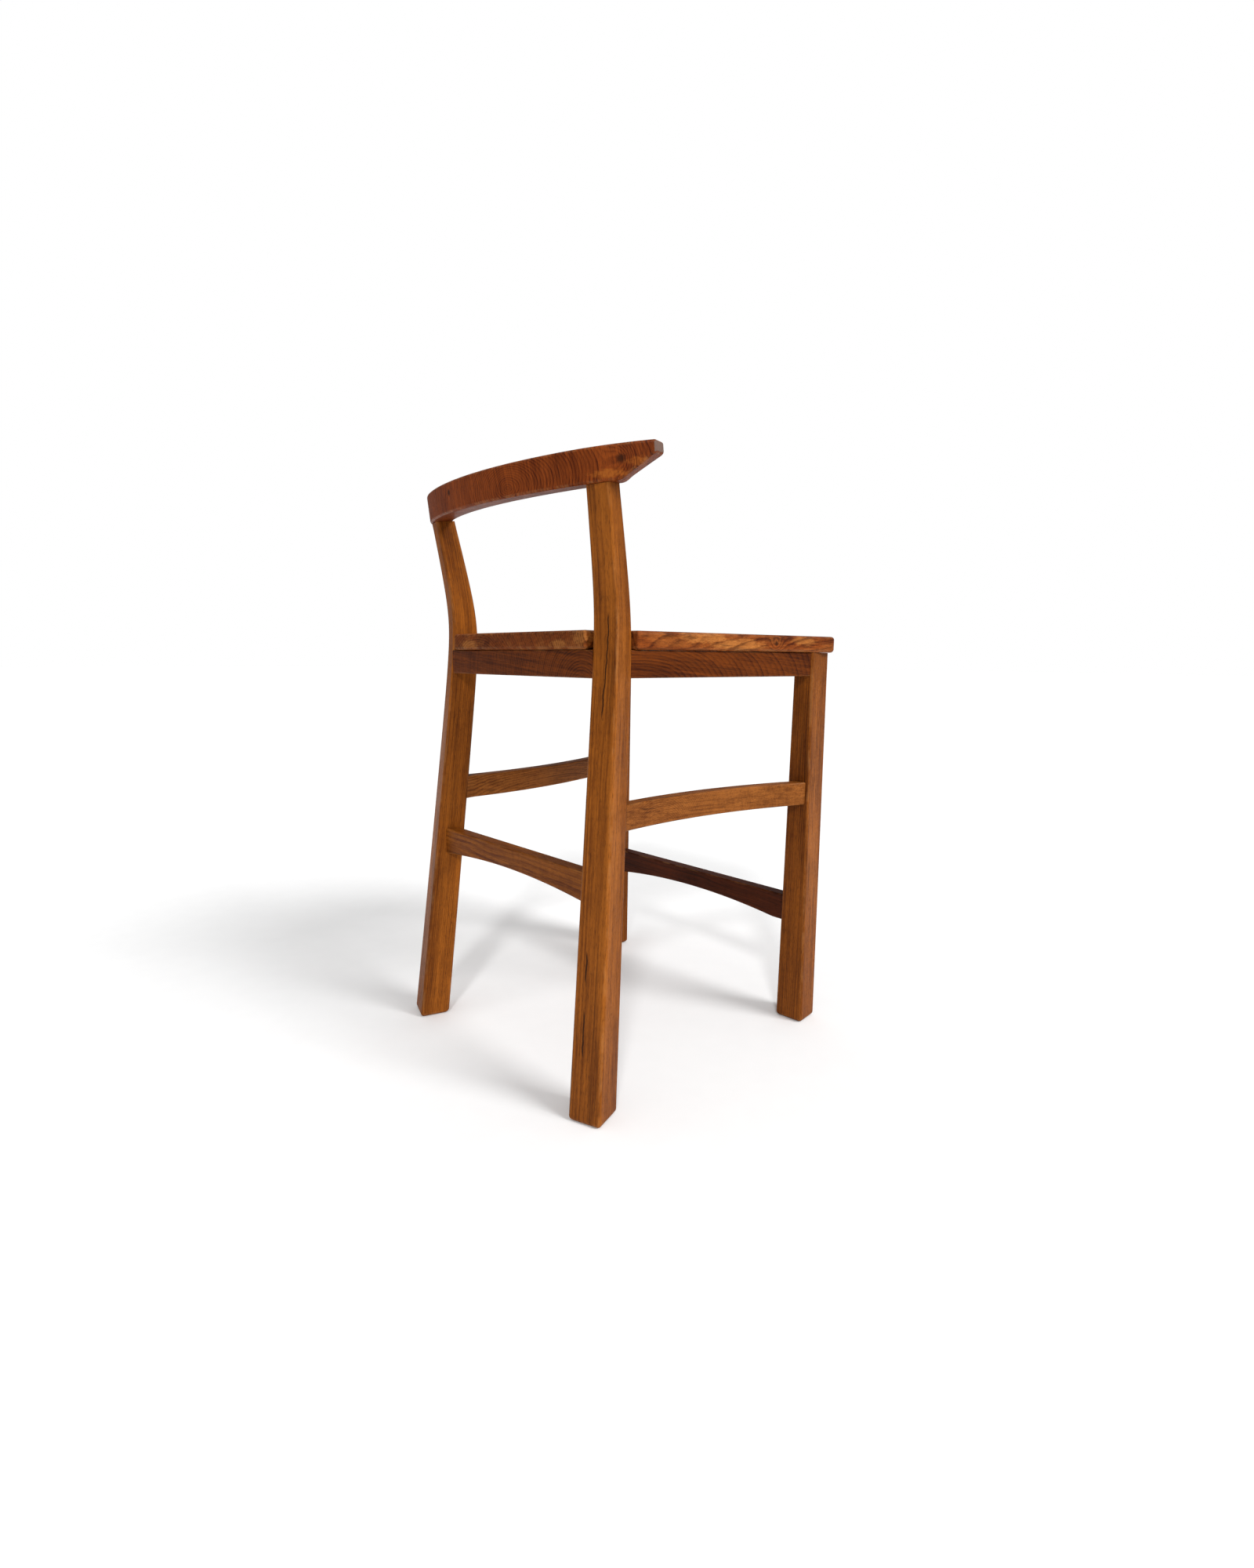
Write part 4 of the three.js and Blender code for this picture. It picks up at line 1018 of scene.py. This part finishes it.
RAIL_KNOTS = (((-0.224, 0.200, 0.842), 0.017, -16.0), ((0.072, 0.254, 0.838), 0.013, 9.0))
RAIL_GLOWS = (
    ((-0.212, 0.207, 0.826), (0.024, 0.032, 0.0060), 1.6),
    ((-0.243, 0.186, 0.838), (0.018, 0.024, 0.0060), 1.6),
)
SEAT_KNOTS = (((-0.2375, -0.112, 0.6325), 0.011, 10.0),)
SEAT_GLOWS = (
    ((-0.216, 0.030, 0.6375), (0.03, 0.055, 0.0085), 1.4),
    ((-0.224, -0.036, 0.6290), (0.03, 0.066, 0.0100), 1.4),
    ((-0.247, -0.172, 0.6370), (0.03, 0.028, 0.0075), 1.6),
    ((0.115, 0.200, 0.6280), (0.030, 0.03, 0.0080), 1.6),
    ((-0.104, 0.200, 0.6270), (0.018, 0.03, 0.0070), 1.6),
    ((-0.150, 0.200, 0.6350), (0.016, 0.03, 0.0120), 1.6),
)


def outer_face_painted_light(side, rear):
    """Painted light: a golden patch along a leg's outer face, where the light falls on it. A rear leg's is
    placed on the leg with its bend taken out.
    """
    x, y = (0.214, 0.150) if rear else (0.263, -0.220)
    return (((side * x, y, 0.66), (0.017, 0.045, 0.62), 0.20),)


LEFT_LEG_SCUFFS = (((0.1790, 0.206, 0.430), (0.003, 0.004, 0.003)),)

# The legs' gold paints the light on their outer faces, and the front legs' palette is darkened as painted
# shade.
REAR_LEG = {**LEG, "gold": LEG_PAINTED_LIGHT_GOLD, "figure": 0.22, "ring_contrast": 0.5}
FRONT_LEG = {**FRONT_LEG_PAINTED_SHADE, "gold": LEG_PAINTED_LIGHT_GOLD, "figure": 0.2}

woods = {
    "rear_leg_left": wood("leg_wood_rear_left", leg_board(1, True, -0.01), 3, 2.9, 5, **REAR_LEG,
                          scuffs=LEFT_LEG_SCUFFS, bent_side=1, gold_patches_and_painted_light=outer_face_painted_light(1, True)),
    "rear_leg_right": wood("leg_wood_rear_right", leg_board(-1, True, 0.0), 8, 2.7, 5, **REAR_LEG,
                           cracks=CRACKS, bent_side=-1, gold_patches_and_painted_light=outer_face_painted_light(-1, True)),
    "front_leg_left": wood("leg_wood_front_left", leg_board(1, False, 0.0), 11, 3.1, 5, **FRONT_LEG,
                           gold_patches_and_painted_light=outer_face_painted_light(1, False)),
    "front_leg_right": wood("leg_wood_front_right", leg_board(-1, False, 0.01), 15, 2.8, 5, **FRONT_LEG,
                            ring_contrast=0.5, gold_patches_and_painted_light=outer_face_painted_light(-1, False)),
    "crest_rail": wood("rail_wood", RAIL_BOARD, 21, 4.2, 11, **RED, figure=0.10, ring_contrast=0.85,
                       knots=RAIL_KNOTS, gold_patches_and_painted_light=RAIL_GLOWS, gold=(0.33, 0.090, 0.012),
                       sawn_ends=(0.17, 0.125, 0.105)),
    "seat_panel": wood("seat_wood", SEAT_BOARD, 27, 4.2, 14, **SEAT, figure=0.4, gold_share=0.25,
                       ring_contrast=0.85, knots=SEAT_KNOTS, gold_patches_and_painted_light=SEAT_GLOWS),
    "apron_left": wood("apron_wood_left", board((-0.15, 1, 0.16), (0.15, 0, 0.545)), 31, 3.4, 10, **APRON_PAINTED_SHADE),
    "apron_right": wood("apron_wood_right", SIDE_APRON_BOARD, 36, 4.2, 14, **APRON_PAINTED_SHADE, figure=0.3,
                        ring_contrast=0.7),
    "apron_rear": wood("apron_wood_rear", REAR_APRON_BOARD, 41, 4.0, 8, **APRON_PAINTED_SHADE, figure=0.4,
                       ring_contrast=1.1),
    "apron_front": wood("apron_wood_front", board((1, 0, 0.05), (0.0, -0.2, 0.54)), 46, 3.2, 10, **APRON_PAINTED_SHADE),
    "stretcher_left": wood("stretcher_wood_left", board((-0.15, 1, 0.02), (0.13, 0, 0.35)), 51, 3.0, 8, **TAN,
                           ring_contrast=0.8),
    "stretcher_right": wood("stretcher_wood_right", NEAR_STRETCHER_BOARD, 56, 3.0, 8, **TAN, figure=0.45,
                            ring_contrast=0.45),
    "stretcher_rear": wood("stretcher_wood_rear", board((1, 0, 0.02), (0.0, 0.12, 0.28)), 61, 3.0, 9, **WARM,
                           figure=0.35),
    "stretcher_front": wood("stretcher_wood_front", board((1, 0, 0.02), (0.0, -0.30, 0.15)), 66, 3.0, 9,
                            **FRONT_STRETCHER_PAINTED_SHADE),
}


# ---------- blocks and screws, which keep their CAD meshes ----------
def dress(node, material):
    """Gives a CAD node a new material."""
    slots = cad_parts[node].data.materials
    slots.clear()
    slots.append(material)


def zinc():
    """Yellow zinc plate: a metal with a faint mottling in its colour and polish."""
    material, g = new_material("yellow_zinc")
    place = g.vector("MULTIPLY", g.node("ShaderNodeTexCoord").outputs["Object"], (1000, 1000, 1000))
    mottle = g.noise(place, (1.5, 1.5, 1.5), 3.0)
    shader = g.node("ShaderNodeBsdfPrincipled")
    colour = g.blend(g.step(mottle, 0.35, 0.65), (0.52, 0.40, 0.20, 1), (0.68, 0.58, 0.36, 1))
    g.put(colour, shader.inputs["Base Color"])
    g.put(g.math("MULTIPLY_ADD", mottle, 0.25, 0.22), shader.inputs["Roughness"])
    shader.inputs["Metallic"].default_value = 1.0
    show(g, shader)
    return material


BLOCK = {"early": (0.36, 0.205, 0.098), "late": (0.22, 0.105, 0.045)}


def dress_corners():
    metal = zinc()
    turns = {("rear", 1): (1, 1), ("rear", -1): (1, -1), ("front", 1): (1, -1), ("front", -1): (1, 1)}
    for number, ((end, side), grain) in enumerate(sorted(turns.items())):
        place = f"{end}_{'left' if side > 0 else 'right'}"
        low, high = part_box(f"corner_block_{place}")
        middle = (low + high) / 2
        cut = board((grain[0], -grain[1], 0), (middle.x, middle.y - SHIFT_Y, middle.z - 0.05))
        block_wood = wood(f"block_wood_{place}", cut, 71 + number, 3.6, 5, **BLOCK, figure=0.15)
        dress(f"corner_block_{place}", block_wood)
        for kind in ("cross", "side", "seat"):
            dress(f"{kind}_screw_{place}", metal)


# ---------- assembly ----------
def build_stool():
    for side, name in ((1, "left"), (-1, "right")):
        rear = f"rear_leg_{name}"
        front = f"front_leg_{name}"
        leg(rear, rear_section, side, POST_TOP, lambda y: rail_underside(y) - JOINT, woods[rear])
        leg(front, front_section, side, SEAT_BOTTOM - JOINT, None, woods[front])
        for kind, bar in (("apron", SIDE_APRON), ("stretcher", SIDE_STRETCHER)):
            node = f"{kind}_{name}"
            side_bar(node, side, bar, woods[node])
    for name, section_at, apron_face, cross in (
            ("rear", rear_section, APRON_REAR_FACE, REAR_CROSS),
            ("front", front_section, APRON_FRONT_FACE + APRON_THICKNESS, FRONT_CROSS)):
        apron = {"face": apron_face, "thickness": APRON_THICKNESS, "edge": APRON_EDGE, "top": APRON_TOP,
                 "bottom_at": lambda x: APRON_BOTTOM}
        stretcher = {**cross, "thickness": CROSS_THICKNESS, "edge": CROSS_EDGE,
                     "bottom_at": arch_bottom(cross["top"])}
        for kind, bar in (("apron", apron), ("stretcher", stretcher)):
            node = f"{kind}_{name}"
            cross_bar(node, section_at, bar, woods[node])
    crest_rail(woods["crest_rail"])
    seat_panel(woods["seat_panel"])
    dress_corners()


# ---------- studio ----------
CAMERA = {"place": (-0.9030, 0.8398, 0.6099), "heading": 0.8039, "pitch": 0.1677, "roll": 0.0072,
          "lens": 17.136, "sensor": 36.0}
DOME = {"horizon": 0.12, "rise": 0.68}  # the soft light's strength, and what it gains up to the zenith
KEY = {"towards": (-0.76, -0.23, 0.61), "strength": 2.25, "spread": 24}
REAR_FILL = {"towards": (-0.55, 0.60, 0.58), "strength": 1.0, "spread": 7}
FLOOR_REACH = 40.0


def add_camera():
    """Stands behind the sitter's right shoulder, a little below the seat's height, with a wide lens."""
    heading, pitch, roll = CAMERA["heading"], CAMERA["pitch"], CAMERA["roll"]
    level = math.cos(pitch)
    forward = Vector((math.sin(heading) * level, -math.cos(heading) * level, -math.sin(pitch)))
    right = Vector((-math.cos(heading), -math.sin(heading), 0))
    up = right.cross(forward)
    rolled_right = right * math.cos(roll) + up * math.sin(roll)
    rolled_up = up * math.cos(roll) - right * math.sin(roll)
    data = bpy.data.cameras.new("camera")
    data.sensor_width = CAMERA["sensor"]
    data.sensor_fit = "AUTO"
    data.lens = CAMERA["lens"]
    data.clip_start = 0.01
    camera = bpy.data.objects.new("camera", data)
    bpy.context.scene.collection.objects.link(camera)
    turned = [rolled_right, rolled_up, -forward]
    x, y, z = CAMERA["place"]
    camera.matrix_world = Matrix.Translation((x, y + SHIFT_Y, z)) @ Matrix(turned).transposed().to_4x4()
    bpy.context.scene.camera = camera


def add_floor():
    """A wide plain floor with a faint speckle."""
    material, g = new_material("pale_floor")
    place = g.vector("MULTIPLY", g.node("ShaderNodeTexCoord").outputs["Object"], (1000, 1000, 1000))
    speckle = g.noise(place, (40, 40, 40), 4.0)
    shader = g.node("ShaderNodeBsdfPrincipled")
    g.put(g.blend(speckle, (0.90, 0.90, 0.90, 1), (0.93, 0.93, 0.93, 1)), shader.inputs["Base Color"])
    shader.inputs["Roughness"].default_value = 0.9
    shader.inputs["Specular IOR Level"].default_value = 0.1
    show(g, shader)
    corners = [(x * FLOOR_REACH, y * FLOOR_REACH, 0) for x, y in ((-1, -1), (1, -1), (1, 1), (-1, 1))]
    mesh = bpy.data.meshes.new("floor")
    mesh.from_pydata(corners, [], [(0, 1, 2, 3)])
    mesh.materials.append(material)
    floor = bpy.data.objects.new("floor", mesh)
    bpy.context.scene.collection.objects.link(floor)


def add_sun(name, towards, strength, spread):
    """A distant soft light. towards points from the stool to the light, and spread is in degrees."""
    data = bpy.data.lights.new(name, "SUN")
    data.energy = strength
    data.angle = math.radians(spread)
    light = bpy.data.objects.new(name, data)
    light.rotation_mode = "QUATERNION"
    light.rotation_quaternion = Vector(towards).to_track_quat("Z", "Y")
    bpy.context.scene.collection.objects.link(light)


def add_lights():
    """A soft dome that the camera sees as plain white, and two suns."""
    world = bpy.data.worlds.new("studio")
    bpy.context.scene.world = world
    world.use_nodes = True
    g = Graph(world.node_tree)
    seen = g.node("ShaderNodeLightPath").outputs["Is Camera Ray"]
    background = world.node_tree.nodes["Background"]
    background.inputs["Color"].default_value = (1, 1, 1, 1)
    direction = g.node("ShaderNodeTexCoord").outputs["Generated"]
    rise = g.math("MAXIMUM", g.split(direction)["Z"], 0.0)
    dome = g.math("MULTIPLY_ADD", rise, DOME["rise"], DOME["horizon"])
    g.put(g.math("MAXIMUM", seen, dome), background.inputs["Strength"])
    add_sun("key", **KEY)
    add_sun("rear_fill", **REAR_FILL)


bpy.context.scene.view_settings.view_transform = "Standard"
add_camera()
build_stool()
add_floor()
add_lights()
